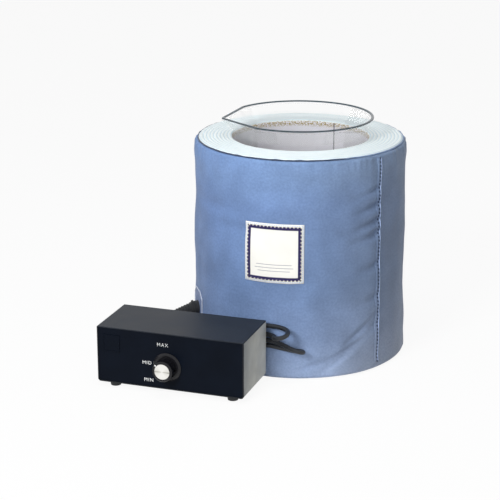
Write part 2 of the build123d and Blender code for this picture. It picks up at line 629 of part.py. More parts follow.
def triac():
    """Switching device with its tab against the heat sink."""
    x0, y0 = SINK_FROM + (SINK_LEN - TRIAC_W) * 4 / 9, SINK_Y
    tab = on_board((x0, x0 + TRIAC_W), (y0 - TRIAC_TAB_T, y0), (6, 22))
    case = on_board((x0, x0 + TRIAC_W), (y0 - TRIAC_TAB_T - TRIAC_T, y0 - TRIAC_TAB_T), (6, 15))
    legs = [on_board((x0 + x, x0 + x + 0.9), (y0 - 3.4, y0 - 2.8), (0, 6)) for x in (1.2, 4.5, 7.9)]
    return tab + case + legs


def choke():
    """Toroid wound with enamelled wire, standing on the board."""
    middle = (BOARD_X[0] + 18, BOARD_Y[1] - 16, BOARD_Z[1] + CHOKE_R + CHOKE_WIRE_R + 0.2)
    return Pos(middle) * Rot(90, 0, 0) * Torus(CHOKE_R, CHOKE_WIRE_R)


def film_capacitor():
    w, d, h = CAPACITOR
    y0 = BOARD_D - 22
    block = on_board((32, 32 + w), (y0, y0 + d), (0, h))
    return fillet(block.edges().filter_by(Axis.Z), 1.5)


def terminal_block():
    """Screw terminals, each with its screw well and its wire hole."""
    w, d, h = TERMINAL_BLOCK
    y0 = BOARD_D - 10
    block = on_board((28, 28 + w), (y0, y0 + d), (0, h))
    for i in range(TERMINALS):
        x = BOARD_X[0] + 32 + i * TERMINAL_PITCH
        block -= Pos(x, BOARD_Y[0] + y0 + d / 2, BOARD_Z[1] + h - 4) * extrude(Circle(2), 5)
        block -= Pos(x, BOARD_Y[0] + y0 + d + 1, BOARD_Z[1] + 3.5) * Rot(90, 0, 0) * extrude(Circle(1.6), 5)
    return block


def fuse():
    """Glass fuse in its two spring clips."""
    x, y = BOARD_W - 32, 10
    tube = Pos(BOARD_X[0] + x, BOARD_Y[0] + y, BOARD_Z[1] + 6) * Rot(0, 90, 0) * Cylinder(FUSE_R, FUSE_LEN)
    ends = (x - FUSE_LEN / 2 + 0.5, x + FUSE_LEN / 2 - 0.5 - CLIP_W)
    return tube + [on_board((a, a + CLIP_W), (y - FUSE_R - 1, y + FUSE_R + 1), (0, 6)) for a in ends]


# ------------------------------------------------------------------ leads
def behind(s, t, z):
    """Point behind the case: s along it from its left end, t away from its rear panel, z above the floor."""
    return Plane(case_frame()).from_local_coords(Vector(s, BOX_D + t, z - BOX_Z))


END_RUN = 17.0             # straight along what the cord leaves or meets
PLUG_RUN = 13.0            # the same, beside the mains plug
HEATER_LOOP = [(25.2, 23.4, 41.2), (37.2, 10.6, 42.6), (60, 9.6, 47.5), (90, 9.9, 55.5),
               (121, 9.0, 63), (152, 6.6, 68.3), (184, 4.5, 70.2), (205, 3.4, 70.4), (218.5, -3.5, 69),
               (219.5, -17, 66.8), (211, -22.3, 64.6), (202.5, -17.4, 62.6), (202.8, -7, 60.8),
               (189, 4.6, 59.3), (153, 6.8, 56.0), (120, 8.8, 45)]
MAINS_LOOP = [(128, 10.4, 33), (154, 7.2, 45), (182, 4.6, 52.2), (204, 1.8, 50.5),
              (222, -4.5, 46), (232, -3, 43), (235.5, 4.5, 40.5), (230, 11.5, 39), (220, 9.4, 39),
              (203, 6.3, 42.6), (184, 4.6, 45.0), (155, 8.6, 37), (130, 16.6, 26),
              (106, 28, 14), (81, 46, 5.2)]
PLUG_LEAD = [(44.5, 47, 13.8)]
ARC_SHARE = 0.45           # of the shorter run, used by each arc


def bend_radii(route):
    """As large an arc at each point as its two runs allow."""
    radii = []
    for before, here, after in zip(route, route[1:], route[2:]):
        turn = math.radians((here - before).get_angle(after - here))
        shorter = min((here - before).length, (after - here).length)
        radii.append(ARC_SHARE * shorter / math.tan(turn / 2))
    return radii


def cord_tube(name, route):
    """Round cord along straight runs joined by tangent arcs."""
    radii = bend_radii(route)
    path = FilletPolyline(*route, radius=radii)
    start = Plane(origin=path @ 0, z_dir=path % 0)
    tube = sweep(start * Circle(CORD_R), path=path)
    expected = math.pi * CORD_R ** 2 * path.length
    print(f"{name}: length {path.length:.0f} mm, volume {tube.volume / expected:.4f} of section by length,",
          "bend radii", ", ".join(f"{r:.0f}" for r in radii))
    return tube


def elbow(z):
    """Right-angled strain relief: a flange on the rear panel and a tapering tail along it."""
    hub = extrude(Circle(ELBOW_FLANGE_R), ELBOW_FLANGE_T)
    neck = Pos(0, 0, -2 * SHEET) * extrude(Circle(ELBOW_NECK_R), 2 * SHEET + ELBOW_T)
    tail = turned([(0, -ELBOW_R), (ELBOW_R * 0.6, -ELBOW_R * 0.85), (ELBOW_R, -ELBOW_R * 0.3),
                   (ELBOW_R, ELBOW_R), (CORD_R + TAIL_LIP, ELBOW_TAIL), (0, ELBOW_TAIL)])
    body = hub + neck + Pos(0, 0, ELBOW_T) * Rot(0, 90, 0) * tail
    return Pos(ELBOW_X, BOX_D, z - BOX_Z) * Rot(-90, 0, 0) * body


def elbow_run(z):
    """Last two points of a cord that comes straight to its elbow."""
    return [behind(ELBOW_X + ELBOW_TAIL + END_RUN, ELBOW_T, z), behind(ELBOW_X + ELBOW_TAIL, ELBOW_T, z)]


def heater_cord():
    start, direction = plug_tail_end()
    middle = [behind(*p) for p in HEATER_LOOP]
    route = [start, start + direction * END_RUN, *middle, *elbow_run(HEATER_ELBOW_Z)]
    return cord_tube("heater_cord", route)


def coil_radius():
    """Middle of the outermost turn."""
    return COIL_R_OUT - CORD_R - COIL_SKIN


def coil_entry(further):
    """On the line where the lead runs into the lowest turn, further out than the stub's end."""
    s = COIL_CENTRE[0] + COIL_STUB + further
    return behind(s, COIL_CENTRE[1] - coil_radius(), CORD_R + COIL_SKIN)


def coil_exit(further):
    """On the line where the lead leaves the highest turn, further out than the stub's end."""
    t = COIL_CENTRE[1] - COIL_STUB - further
    return behind(COIL_CENTRE[0] + coil_radius(), t, COIL_H - CORD_R - COIL_SKIN)


def mains_cord():
    middle = [behind(*p) for p in MAINS_LOOP]
    ends = list(reversed(elbow_run(MAINS_ELBOW_Z)))
    return cord_tube("mains_cord", [*ends, *middle, coil_entry(END_RUN), coil_entry(0)])


def plug_lead():
    s, t = MAINS_PLUG_AT
    middle = [behind(*p) for p in PLUG_LEAD]
    end = [behind(s + PLUG_RUN, t, MAINS_PLUG_R), behind(s, t, MAINS_PLUG_R)]
    return cord_tube("plug_lead", [coil_exit(0), coil_exit(PLUG_RUN), *middle, *end])


def mains_coil():
    """Outer shape of the coiled lead, with the two stubs where the lead joins and leaves it."""
    cx, cy = COIL_CENTRE[0], COIL_CENTRE[1]
    coil = ring(COIL_R_IN, COIL_R_OUT, 0, COIL_H)
    coil = chamfer(coil.edges(), CORD_R * 0.8)
    stub = extrude(Circle(CORD_R), COIL_STUB)
    entry = Pos(0, -coil_radius(), CORD_R + COIL_SKIN) * Rot(0, 90, 0) * stub
    leave = Pos(coil_radius(), 0, COIL_H - CORD_R - COIL_SKIN) * Rot(90, 0, 0) * stub
    return Pos(cx, BOX_D + cy, -BOX_Z) * (coil + entry + leave)


def mains_plug_frame():
    """Frame of the plug lying behind the case: Z along its pins."""
    s, t = MAINS_PLUG_AT
    return Pos(s, BOX_D + t, MAINS_PLUG_R - BOX_Z) * Rot(0, -90, 0)


def mains_plug():
    """Moulded two-pin plug, its sides cut flat so that it lies still."""
    face = MAINS_TAIL + MAINS_PLUG_LEN
    waist = (CORD_R + MAINS_PLUG_HALF_W) / 2
    grip = turned([(0, 0), (CORD_R + TAIL_LIP, 0), (CORD_R + 3 * TAIL_LIP, MAINS_TAIL),
                   (waist, MAINS_TAIL + 2), (MAINS_PLUG_HALF_W - 0.5, MAINS_TAIL + 8),
                   (MAINS_PLUG_HALF_W, face), (0, face)])
    flats = Pos(0, 0, face / 2) * Box(2 * MAINS_PLUG_R, 2 * MAINS_PLUG_HALF_W, face)
    return mains_plug_frame() * (grip & flats)


def plug_pins():
    pins = []
    for side in (-1, 1):
        pin = Pos(0, side * PIN_PITCH / 2, MAINS_TAIL + MAINS_PLUG_LEN) * extrude(Circle(PIN_R), PIN_LEN)
        pins.append(chamfer(pin.edges().group_by(Axis.Z)[-1], 0.8))
    return mains_plug_frame() * group(pins)


# ------------------------------------------------------------------ the set
def build():
    """Every node by name, in the row's frame."""
    nodes = {
        "beaker": beaker(), "side_cover": side_cover(), "base_cover": base_cover(), "top_cover": top_cover(),
        "top_piping": top_piping(), "label_field": label_field(), "heater_liner": heater_liner(),
        "heating_tape": heating_tape(), "tape_leads": tape_leads(), "side_insulation": side_insulation(),
        "base_insulation": base_insulation(), "top_pad": top_pad(), "inlet_patch": inlet_patch(),
        "inlet_socket": inlet_socket(), "mantle_plug": mantle_plug(),
        "heater_cord": heater_cord(), "mains_cord": mains_cord(), "plug_lead": plug_lead(),
    }
    on_case = {
        "case_body": case_body(), "case_lid": case_lid(), "front_panel": front_panel(),
        "rear_panel": rear_panel(), "badge_plate": badge_plate(), "foot_screws": foot_screws(),
        "knob_body": knob_body(), "knob_cap": knob_cap(), "knob_screw": knob_screw(),
        "dial_shaft": dial_shaft(), "dial_control": dial_control(), "dial_nut": dial_nut(),
        "circuit_board": circuit_board(),
        "board_standoffs": board_standoffs(), "heat_sink": heat_sink(), "triac": triac(), "choke": choke(),
        "film_capacitor": film_capacitor(), "terminal_block": terminal_block(), "fuse": fuse(),
        "heater_elbow": elbow(HEATER_ELBOW_Z), "mains_elbow": elbow(MAINS_ELBOW_Z),
        "mains_coil": mains_coil(), "mains_plug": mains_plug(), "plug_pins": plug_pins(),
    }
    for corner, (x, y) in zip(("front_left", "front_right", "rear_left", "rear_right"), foot_places()):
        on_case[f"foot_{corner}"] = foot(x, y)
    for name, shape in on_case.items():
        nodes[name] = case_frame() * shape
    return nodes


os.makedirs("parts", exist_ok=True)
for node_name, node_shape in build().items():
    export_step(node_shape, f"parts/{node_name}.step")
    print(f"{node_name}: {len(node_shape.solids())} solid(s), {node_shape.volume / 1000:.1f} cm3")
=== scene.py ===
# %% [markdown]
# Beaker heating mantle with its controller. The solid parts arrive as a fixed frame in metres, each already
# in its place. This lesson dresses them: cloth is rebuilt as soft shapes, hard parts get finishes, and
# leads become smooth curves. Sizes below are millimetres and become metres where a mesh is made.

# %% Load the frame
import json
import math
import bmesh
import bpy
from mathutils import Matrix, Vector, noise

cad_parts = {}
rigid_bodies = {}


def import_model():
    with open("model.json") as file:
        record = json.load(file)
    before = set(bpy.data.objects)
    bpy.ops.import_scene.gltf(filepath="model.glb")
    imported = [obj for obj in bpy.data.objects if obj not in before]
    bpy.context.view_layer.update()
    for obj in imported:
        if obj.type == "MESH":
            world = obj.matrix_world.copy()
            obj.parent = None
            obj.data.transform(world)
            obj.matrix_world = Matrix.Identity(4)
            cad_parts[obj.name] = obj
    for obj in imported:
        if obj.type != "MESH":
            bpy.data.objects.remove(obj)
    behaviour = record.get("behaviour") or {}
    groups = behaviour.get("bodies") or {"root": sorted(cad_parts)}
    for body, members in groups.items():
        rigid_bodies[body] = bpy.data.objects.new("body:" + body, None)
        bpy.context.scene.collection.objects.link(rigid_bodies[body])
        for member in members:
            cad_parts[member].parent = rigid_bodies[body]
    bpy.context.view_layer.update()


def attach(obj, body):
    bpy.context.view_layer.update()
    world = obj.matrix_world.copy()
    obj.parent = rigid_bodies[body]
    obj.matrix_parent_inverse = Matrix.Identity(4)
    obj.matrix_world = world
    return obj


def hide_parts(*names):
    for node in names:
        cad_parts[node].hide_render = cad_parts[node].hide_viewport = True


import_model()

MM = 0.001


def placed(name, data):
    """New object in the scene."""
    obj = bpy.data.objects.new(name, data)
    bpy.context.scene.collection.objects.link(obj)
    return obj


# %% [markdown]
# The camera comes first, because it decides what is seen. It stands a little above the set and looks down.

# %% Camera
camera = placed("camera", bpy.data.cameras.new("camera"))
camera.location = (-0.064, -2.0, 0.745)
camera.rotation_euler = (math.radians(72.8), 0, 0)
camera.data.lens, camera.data.sensor_width = 116.64, 36
bpy.context.scene.camera = camera
bpy.context.scene.view_settings.view_transform = "Standard"
print("camera at", tuple(camera.location))

# %% [markdown]
# A shader is a small network. These helpers keep each material to a few lines: one makes the main shader
# with its constants, the others add coordinates, textures and a bump that roughens the light, not the shape.

# %% Shader helpers
def main_of(m):
    return m.node_tree.nodes["Principled BSDF"]


def shader(name, colour, rough, **sockets):
    """Material with one main shader; further sockets by name, with _ for a space."""
    m = bpy.data.materials.new(name)
    m.use_nodes = True
    main = main_of(m)
    main.inputs["Base Color"].default_value = (*colour, 1)
    main.inputs["Roughness"].default_value = rough
    for key, value in sockets.items():
        main.inputs[key.replace("_", " ")].default_value = value
    return m


def add(m, kind, links=(), **values):
    """Node of a material or world: settings by attribute or input name, links as (input, socket)."""
    n = m.node_tree.nodes.new(kind)
    for key, value in values.items():
        if hasattr(n, key):
            setattr(n, key, value)
        else:
            n.inputs[key.replace("_", " ")].default_value = value
    for key, socket in links:
        m.node_tree.links.new(socket, n.inputs[key])
    return n


def place(m, cloth=False):
    """The piece's own coordinates in metres, or its cloth map."""
    if cloth:
        return add(m, "ShaderNodeUVMap", uv_map="cloth").outputs[0]
    return add(m, "ShaderNodeTexCoord").outputs["Object"]


def axes(m, vector):
    """A vector's X, Y and Z, by name."""
    return add(m, "ShaderNodeSeparateXYZ", [("Vector", vector)]).outputs


def grain(m, at, scale, detail=3):
    return add(m, "ShaderNodeTexNoise", [("Vector", at)], Scale=scale, Detail=detail).outputs["Fac"]


def ramp(m, fac, stops):
    """Colours along a value; stops are (position, colour)."""
    n = add(m, "ShaderNodeValToRGB", [("Fac", fac)])
    while len(n.color_ramp.elements) < len(stops):
        n.color_ramp.elements.new(0.5)
    for element, (at, colour) in zip(n.color_ramp.elements, stops):
        element.position, element.color = at, (*colour, 1)
    return n.outputs["Color"]


def maths(m, how, *terms):
    n = add(m, "ShaderNodeMath", operation=how)
    for i, x in enumerate(terms):
        if isinstance(x, (int, float)):
            n.inputs[i].default_value = x
        else:
            m.node_tree.links.new(x, n.inputs[i])
    return n.outputs[0]


def tinted(m, colour, tint):
    """One colour socket multiplied by another."""
    n = add(m, "ShaderNodeMix", data_type="RGBA", blend_type="MULTIPLY")
    n.inputs["Factor"].default_value = 1.0
    m.node_tree.links.new(colour, n.inputs[6])
    m.node_tree.links.new(tint, n.inputs[7])
    return n.outputs[2]


def tie(m, socket, name):
    m.node_tree.links.new(socket, main_of(m).inputs[name])


def bump(m, height, depth_mm, strength=1.0):
    n = add(m, "ShaderNodeBump", [("Height", height)], Strength=strength, Distance=depth_mm * MM)
    tie(m, n.outputs[0], "Normal")


def shades(colour, spread):
    """Darker, plain and lighter versions of a colour, for a ramp."""
    darker, lighter = ([min(1, c * (1 + change)) for c in colour] for change in (-spread, spread))
    return [(0.3, darker), (0.5, colour), (0.7, lighter)]


print("helpers ready, materials so far", len(bpy.data.materials))

# %% [markdown]
# Woven cloth is two sets of threads. Two wave textures at right angles, laid out on the cloth's own map in
# metres, give threads that bend with the cloth. Larger noise adds handling marks.

# %% Woven cloth
def woven(name, colour, pitch_mm, depth_mm=0.15, spread=0.10, rough=0.75, sheen=0.25):
    """Cloth with a thread pitch; spread is how far its colour strays from the plain one."""
    m = shader(name, colour, rough, Sheen_Weight=sheen, Sheen_Roughness=0.4)
    at = place(m, cloth=True)
    threads = []
    for way in ("X", "Y"):
        w = add(m, "ShaderNodeTexWave", [("Vector", at)], wave_type="BANDS", bands_direction=way,
                Scale=1000 / pitch_mm / 3.14, Distortion=0.4)
        threads.append(w.outputs["Fac"])
    weave = maths(m, "MULTIPLY", *threads)
    handling = maths(m, "MULTIPLY", grain(m, at, 28, 4), 0.75)
    marks = maths(m, "ADD", handling, maths(m, "MULTIPLY", weave, 0.25))
    tie(m, ramp(m, marks, shades(colour, spread)), "Base Color")
    bump(m, weave, depth_mm)
    return m


def moulded(name, colour, rough, grain_scale=900, depth_mm=0.05, **sockets):
    """Plastic, rubber or paint with a fine skin."""
    m = shader(name, colour, rough, **sockets)
    skin = grain(m, place(m), grain_scale, 2)
    wear = grain(m, place(m), 30, 3)
    tie(m, ramp(m, wear, shades(colour, 0.15)), "Base Color")
    tie(m, maths(m, "ADD", maths(m, "MULTIPLY", wear, 0.16), rough - 0.08), "Roughness")
    bump(m, skin, depth_mm, 0.6)
    return m


# %% [markdown]
# Meshes here are sheets of points, row after row. A row or a column that runs round closes on itself.
# The cloth map holds true distances, so that threads keep their size.

# %% Mesh helpers
def linked(name, mesh, material, body="set"):
    obj = placed(name, mesh)
    if material and not mesh.materials:
        mesh.materials.append(material)
    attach(obj, body)
    return obj


def skin(name, rows, material, close_rows=True, close_cols=False, body="set", maps=None):
    """Smooth sheet through rows of points in mm; maps gives each point's place on the cloth, in mm."""
    n, count = len(rows[0]), len(rows)
    mesh = bpy.data.meshes.new(name)
    faces, corners = [], []
    for j in range(count if close_cols else count - 1):
        for i in range(n if close_rows else n - 1):
            quad = [(j, i), (j, i + 1), (j + 1, i + 1), (j + 1, i)]
            faces.append([(a % count) * n + b % n for a, b in quad])
            corners += quad
    mesh.from_pydata([[c * MM for c in p] for row in rows for p in row], [], faces)
    if maps:
        layer = mesh.uv_layers.new(name="cloth")
        for loop, (a, b) in zip(layer.data, corners):
            loop.uv = [c * MM for c in maps(a, b)]
    mesh.polygons.foreach_set("use_smooth", [True] * len(mesh.polygons))
    outward(mesh)
    return linked(name, mesh, material, body)


def outward(mesh):
    """Joins points that lie together, so that poles and seams are closed, and turns every face outwards."""
    b = bmesh.new()
    b.from_mesh(mesh)
    bmesh.ops.remove_doubles(b, verts=b.verts, dist=1e-6)
    bmesh.ops.recalc_face_normals(b, faces=b.faces)
    b.to_mesh(mesh)
    b.free()


def polar(r, a, z):
    """Point at radius r and angle a in radians, round the upright axis."""
    return (r * math.cos(a), r * math.sin(a), z)


def tube(name, path, radius, material, closed=False, sides=10):
    """Round tube through points in mm."""
    rows, n = [], len(path)
    for k, p in enumerate(path):
        ahead = Vector(path[(k + 1) % n] if closed or k < n - 1 else p)
        back = Vector(path[k - 1] if closed or k > 0 else p)
        along = (ahead - back).normalized()
        side = along.cross(Vector((0, 0, 1)))
        side = (side if side.length > 0.1 else along.cross(Vector((1, 0, 0)))).normalized()
        up = side.cross(along)
        turn = [2 * math.pi * i / sides for i in range(sides)]
        rows.append([Vector(p) + radius * (math.cos(t) * side + math.sin(t) * up) for t in turn])
    if not closed:
        rows = [[Vector(path[0])] * sides, *rows, [Vector(path[-1])] * sides]
    around = 2 * math.pi * radius / sides
    return skin(name, rows, material, close_cols=closed, maps=lambda a, b: (b * around, a * 2.0))


# %% [markdown]
# The leads are fixed lengths of round flexible cord. Each is one smooth spline: its control points are
# where the cord was routed, and the spline rounds every corner. The mains lead is wound into a coil behind
# the case: a loop adds its turns, out, in, up and out again, so that no turn lies in another.

# %% Where things lie behind the case
CASE_CORNER, CASE_YAW, CASE_LIFT = (-249.5, -155.4), math.radians(-18.8), 7.1
CASE_W, CASE_D = 188.0, 84.0
CORD_R = 2.9


def case_point(x, y, z):
    """Case frame to row frame: x along the front, y to the back, z above the underside."""
    c, s = math.cos(CASE_YAW), math.sin(CASE_YAW)
    return (CASE_CORNER[0] + x * c - y * s, CASE_CORNER[1] + x * s + y * c, CASE_LIFT + z)


def behind(s, t, z):
    """Row frame again: s along the case's back, t away from it, z above the floor."""
    return case_point(s, CASE_D + t, z - CASE_LIFT)


print("case's rear left corner at", [round(c, 1) for c in behind(0, 0, 0)])


# %% Cord maker
def cord_curve(name, route, material):
    curve = bpy.data.curves.new(name, "CURVE")
    curve.dimensions, curve.bevel_depth, curve.bevel_resolution, curve.resolution_u = "3D", CORD_R * MM, 3, 8
    curve.use_fill_caps = True
    spline = curve.splines.new("NURBS")
    spline.points.add(len(route) - 1)
    for point, p in zip(spline.points, route):
        point.co = (*[c * MM for c in p], 1)
    spline.order_u = 3
    spline.use_endpoint_u = True
    obj = placed(name, curve)
    curve.materials.append(material)
    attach(obj, "set")
    return obj


def spline_length(obj):
    """Length of the smooth line itself, read from a bare copy of the curve with no bevel."""
    bare = placed("bare_line", obj.data.copy())
    bare.data.bevel_depth = 0
    line = bpy.data.meshes.new_from_object(bare.evaluated_get(bpy.context.evaluated_depsgraph_get()))
    bpy.data.objects.remove(bare)
    return sum((line.vertices[e.vertices[0]].co - line.vertices[e.vertices[1]].co).length for e in line.edges)


# %% Heater lead: mantle plug to case
INLET_TURN, INLET_Z, INLET_DROOP = 194.0, 57.0, 12.0
INLET_OUT, FLANGE_T, PLUG_LEN, PLUG_TAIL = 4.2, 2.0, 26.0, 9.0
PLUG_REACH = INLET_OUT + FLANGE_T + PLUG_LEN + PLUG_TAIL
END_RUN, PLUG_RUN = 17.0, 13.0          # straight ends of a lead
ELBOW_OUT, ELBOW_END, HEATER_ELBOW_Z, MAINS_ELBOW_Z = 9.0, 78.0, 34, 18
WALL_FOOT, WALL_TOP, WALL_H = 134.8, 132.5, 277.5
jacket = moulded("cord_jacket", (0.012, 0.014, 0.018), 0.42, 1400, 0.03)


def wall_r(z):
    """Radius of the plain wall at a height."""
    return WALL_FOOT + (WALL_TOP - WALL_FOOT) * z / WALL_H


def inlet_point(out):
    """Point on the inlet's sagging axis, out mm from the wall."""
    a, d = math.radians(INLET_TURN), math.radians(INLET_DROOP)
    return Vector(polar(wall_r(INLET_Z), a, INLET_Z)) + Vector(polar(math.cos(d), a, -math.sin(d))) * out


HEATER_LOOP = [(25.2, 23.4, 41.2), (37.2, 10.6, 42.6), (60, 9.6, 47.5), (90, 9.9, 55.5),
               (121, 9.0, 63), (152, 6.6, 68.3), (184, 4.5, 70.2), (205, 3.4, 70.4), (218.5, -3.5, 69),
               (219.5, -17, 66.8), (211, -22.3, 64.6), (202.5, -17.4, 62.6), (202.8, -7, 60.8),
               (189, 4.6, 59.3), (153, 6.8, 56.0), (120, 8.8, 45)]
heater_route = [inlet_point(PLUG_REACH), inlet_point(PLUG_REACH + END_RUN),
                *[behind(*p) for p in HEATER_LOOP],
                behind(ELBOW_END + END_RUN, ELBOW_OUT, HEATER_ELBOW_Z),
                behind(ELBOW_END, ELBOW_OUT, HEATER_ELBOW_Z)]
heater = cord_curve("heater_lead", heater_route, jacket)
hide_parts("heater_cord")
heater_length = spline_length(heater)
print("heater lead", round(heater_length, 4))

# %% Mains lead: case to coil to plug
MAINS_LOOP = [(128, 10.4, 33), (154, 7.2, 45), (182, 4.6, 52.2), (204, 1.8, 50.5),
              (222, -4.5, 46), (232, -3, 43), (235.5, 4.5, 40.5), (230, 11.5, 39), (220, 9.4, 39),
              (203, 6.3, 42.6), (184, 4.6, 45.0), (155, 8.6, 37), (130, 16.6, 26),
              (106, 28, 14), (81, 46, 5.2)]
COIL_AT, COIL_STUB = (12.0, 100.0), 24.0
OUTER, INNER = 36.8, 31.0
FLOOR_Z, MIDDLE_Z, TOP_Z = 3.2, 9.0, 14.2
TURN_SLOTS = [(OUTER, FLOOR_Z), (INNER, FLOOR_Z), (INNER, MIDDLE_Z), (OUTER, MIDDLE_Z), (OUTER, TOP_Z)]
POINTS_A_TURN = 20
SWELL = 1 / (0.25 * (3 + math.cos(2 * math.pi / POINTS_A_TURN)))    # the spline cuts inside its points
MAINS_PLUG_AT, MAINS_PLUG_Z, PLUG_LEAD_BEND = (19.0, 38.0), 13.5, (44.5, 47, 13.8)


def round_coil(r, turn, z):
    x, y, z = polar(r, turn, z)
    return (COIL_AT[0] + x, COIL_AT[1] + y, z)


def coil_turns():
    """Points from the near side clockwise to the right side: a turn in each slot, then on to the next."""
    last = len(TURN_SLOTS) - 1
    stay = POINTS_A_TURN - 2
    points = []
    for k in range(1, POINTS_A_TURN * last + POINTS_A_TURN * 3 // 4):
        slot = min(k / stay, last)
        low = int(slot)
        part = min(1, max(0, (slot - low) * stay - (stay - 2)) / 2)
        here, there = TURN_SLOTS[low], TURN_SLOTS[min(low + 1, last)]
        r, z = (p + (q - p) * part for p, q in zip(here, there))
        points.append(round_coil(r * SWELL, -math.pi / 2 - 2 * math.pi * k / POINTS_A_TURN, z))
    return points


coil_in = [(COIL_AT[0] + COIL_STUB + END_RUN, COIL_AT[1] - OUTER, FLOOR_Z),
           (COIL_AT[0] + COIL_STUB, COIL_AT[1] - OUTER, FLOOR_Z)]
coil_out = [(COIL_AT[0] + OUTER, COIL_AT[1] - COIL_STUB - run, TOP_Z) for run in (0, PLUG_RUN)]
plug_end = [(MAINS_PLUG_AT[0] + PLUG_RUN, MAINS_PLUG_AT[1], MAINS_PLUG_Z), (*MAINS_PLUG_AT, MAINS_PLUG_Z)]
elbow_end = [(ELBOW_END + run, ELBOW_OUT, MAINS_ELBOW_Z) for run in (0, END_RUN)]
mains_route = [behind(*p) for p in [*elbow_end, *MAINS_LOOP, *coil_in, *coil_turns(), *coil_out,
                                    PLUG_LEAD_BEND, *plug_end]]
mains = cord_curve("mains_lead", mains_route, jacket)
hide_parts("mains_cord", "mains_coil", "plug_lead")
mains_length = spline_length(mains)
print("mains lead", round(mains_length, 4))

# %% [markdown]
# A cloth strap ties the turns. It is a flat band pulled round the bundle's outline, so its section is that
# outline with cut corners, repeated across the width of the band.

# %% Strap on the coil
TIE_TURN, TIE_HALF, TIE_CORNER = math.radians(140), 4.5, 1.2
TIE_INSIDE = [(27.9, 0.15), (39.9, 0.15), (39.9, 17.3), (33.4, 17.3), (27.9, 12.2)]
TIE_OUTSIDE = [(27.3, 0.05), (40.5, 0.05), (40.5, 17.9), (33.1, 17.9), (27.3, 12.5)]


def chamfered(corners, cut):
    """Closed line with each corner cut off at the same distance along both its sides."""
    line = []
    for k, p in enumerate(corners):
        for q in (corners[k - 1], corners[(k + 1) % len(corners)]):
            line.append([a + (b - a) * cut / math.dist(p, q) for a, b in zip(p, q)])
    return line


def strap_row(corners, across):
    turn = TIE_TURN + across / OUTER
    return [behind(*round_coil(r, turn, z)) for r, z in chamfered(corners, TIE_CORNER)]


strap_rows = [strap_row(TIE_OUTSIDE, w) for w in (-TIE_HALF, -1.5, 1.5, TIE_HALF)]
strap_rows += [strap_row(TIE_INSIDE, w) for w in (TIE_HALF, -TIE_HALF)]
strap_grey = woven("strap_grey", (0.05, 0.055, 0.06), 0.9, 0.2, 0.2)
strap = skin("coil_strap", strap_rows, strap_grey, close_cols=True, maps=lambda a, b: (b * 4.0, a * 3.0))
print("strap faces", len(strap.data.polygons))

# %% [markdown]
# The stage: a pale floor, a white surround and soft lamps from the left and above. What the camera sees
# directly, and in metal or glass, is lifted to white, while the floor keeps the soft shadow.

# %% Floor, surround and lamps
FLOOR_GREY, FLOOR_LIFT = 0.86, 0.92
SKY_PLAIN, SKY_LIFT = 0.25, 0.75
LAMP_AIM = Vector((0, 0, 0.14))


def seen_rays(m):
    """1 on rays that come from the camera, through glass or off a shiny face, and 0 on all others."""
    rays = add(m, "ShaderNodeLightPath").outputs
    seen = maths(m, "MAXIMUM", rays["Is Camera Ray"], rays["Is Transmission Ray"])
    return maths(m, "MAXIMUM", seen, rays["Is Glossy Ray"])


floor_paint = shader("floor_paint", (FLOOR_GREY, FLOOR_GREY, FLOOR_GREY), 0.9)
glow = add(floor_paint, "ShaderNodeEmission", Color=(1, 1, 1, 1), Strength=1.0)
lift = maths(floor_paint, "MULTIPLY", seen_rays(floor_paint), FLOOR_LIFT)
lit = add(floor_paint, "ShaderNodeMixShader", [(0, lift), (1, main_of(floor_paint).outputs[0]),
                                               (2, glow.outputs[0])])
surface = floor_paint.node_tree.nodes["Material Output"].inputs["Surface"]
floor_paint.node_tree.links.new(lit.outputs[0], surface)
floor_mesh = bpy.data.meshes.new("floor")
floor_mesh.from_pydata([(-8, -5, 0), (8, -5, 0), (8, 14, 0), (-8, 14, 0)], [], [(0, 1, 2, 3)])
floor_mesh.materials.append(floor_paint)
floor = placed("floor", floor_mesh)

world = bpy.data.worlds.new("surround")
world.use_nodes = True
bpy.context.scene.world = world
backdrop = world.node_tree.nodes["Background"]
backdrop.inputs["Color"].default_value = (1, 1, 1, 1)
world.node_tree.links.new(maths(world, "MULTIPLY_ADD", seen_rays(world), SKY_LIFT, SKY_PLAIN),
                          backdrop.inputs["Strength"])


def lamp(name, at, size, watts):
    light = bpy.data.lights.new(name, "AREA")
    light.size, light.energy = size, watts
    obj = placed(name, light)
    obj.location = at
    obj.rotation_euler = (LAMP_AIM - Vector(at)).to_track_quat("-Z", "Y").to_euler()
    obj.visible_glossy = obj.visible_transmission = False


lamp("key", (-1.0, -1.7, 1.25), 0.6, 32)
lamp("front", (-0.3, -2.2, 0.7), 1.0, 4)
lamp("top", (-0.1, -0.45, 1.8), 0.9, 11)
print("lamps", len(bpy.data.lights))

# %% [markdown]
# The jacket is stuffed cloth, so its wall is never a true cylinder. One rule gives the cloth's distance
# from the axis at any place: slow swells, fine creases, gathers under the top seam, puckers beside the
# upright seam and a few dents. Everything sewn on uses the same rule, so it lies on the cloth.

# %% Rule for the cloth's surface
TOP_Z_MM, FOOT_ROUND, SHOULDER = 276.0, 5.0, 4.0
SEAM_TURN = -45.0
WALL_MID, MM_A_DEGREE = 134, 2.34       # middle radius, and the way round it for one degree
# turn, height, half width, half height and depth of each dent
DENTS = [(-142, 208, 34, 9, -2.6), (-128, 188, 26, 7, -1.6), (-100, 236, 40, 12, -1.0),
         (-30, 150, 20, 30, -1.4), (-150, 120, 30, 16, -1.2), (40, 190, 36, 12, -2.0),
         (120, 90, 30, 14, -2.0), (95, 220, 40, 10, -1.6)]
# height, half height and depth of each pucker beside the seam
PUCKERS = [(216, 5.0, 5.2), (196, 5.0, 6.0), (180, 5.5, 5.2), (236, 4.0, 3.0), (140, 6.0, 3.2),
           (98, 6.0, 2.8), (62, 6.0, 3.0)]
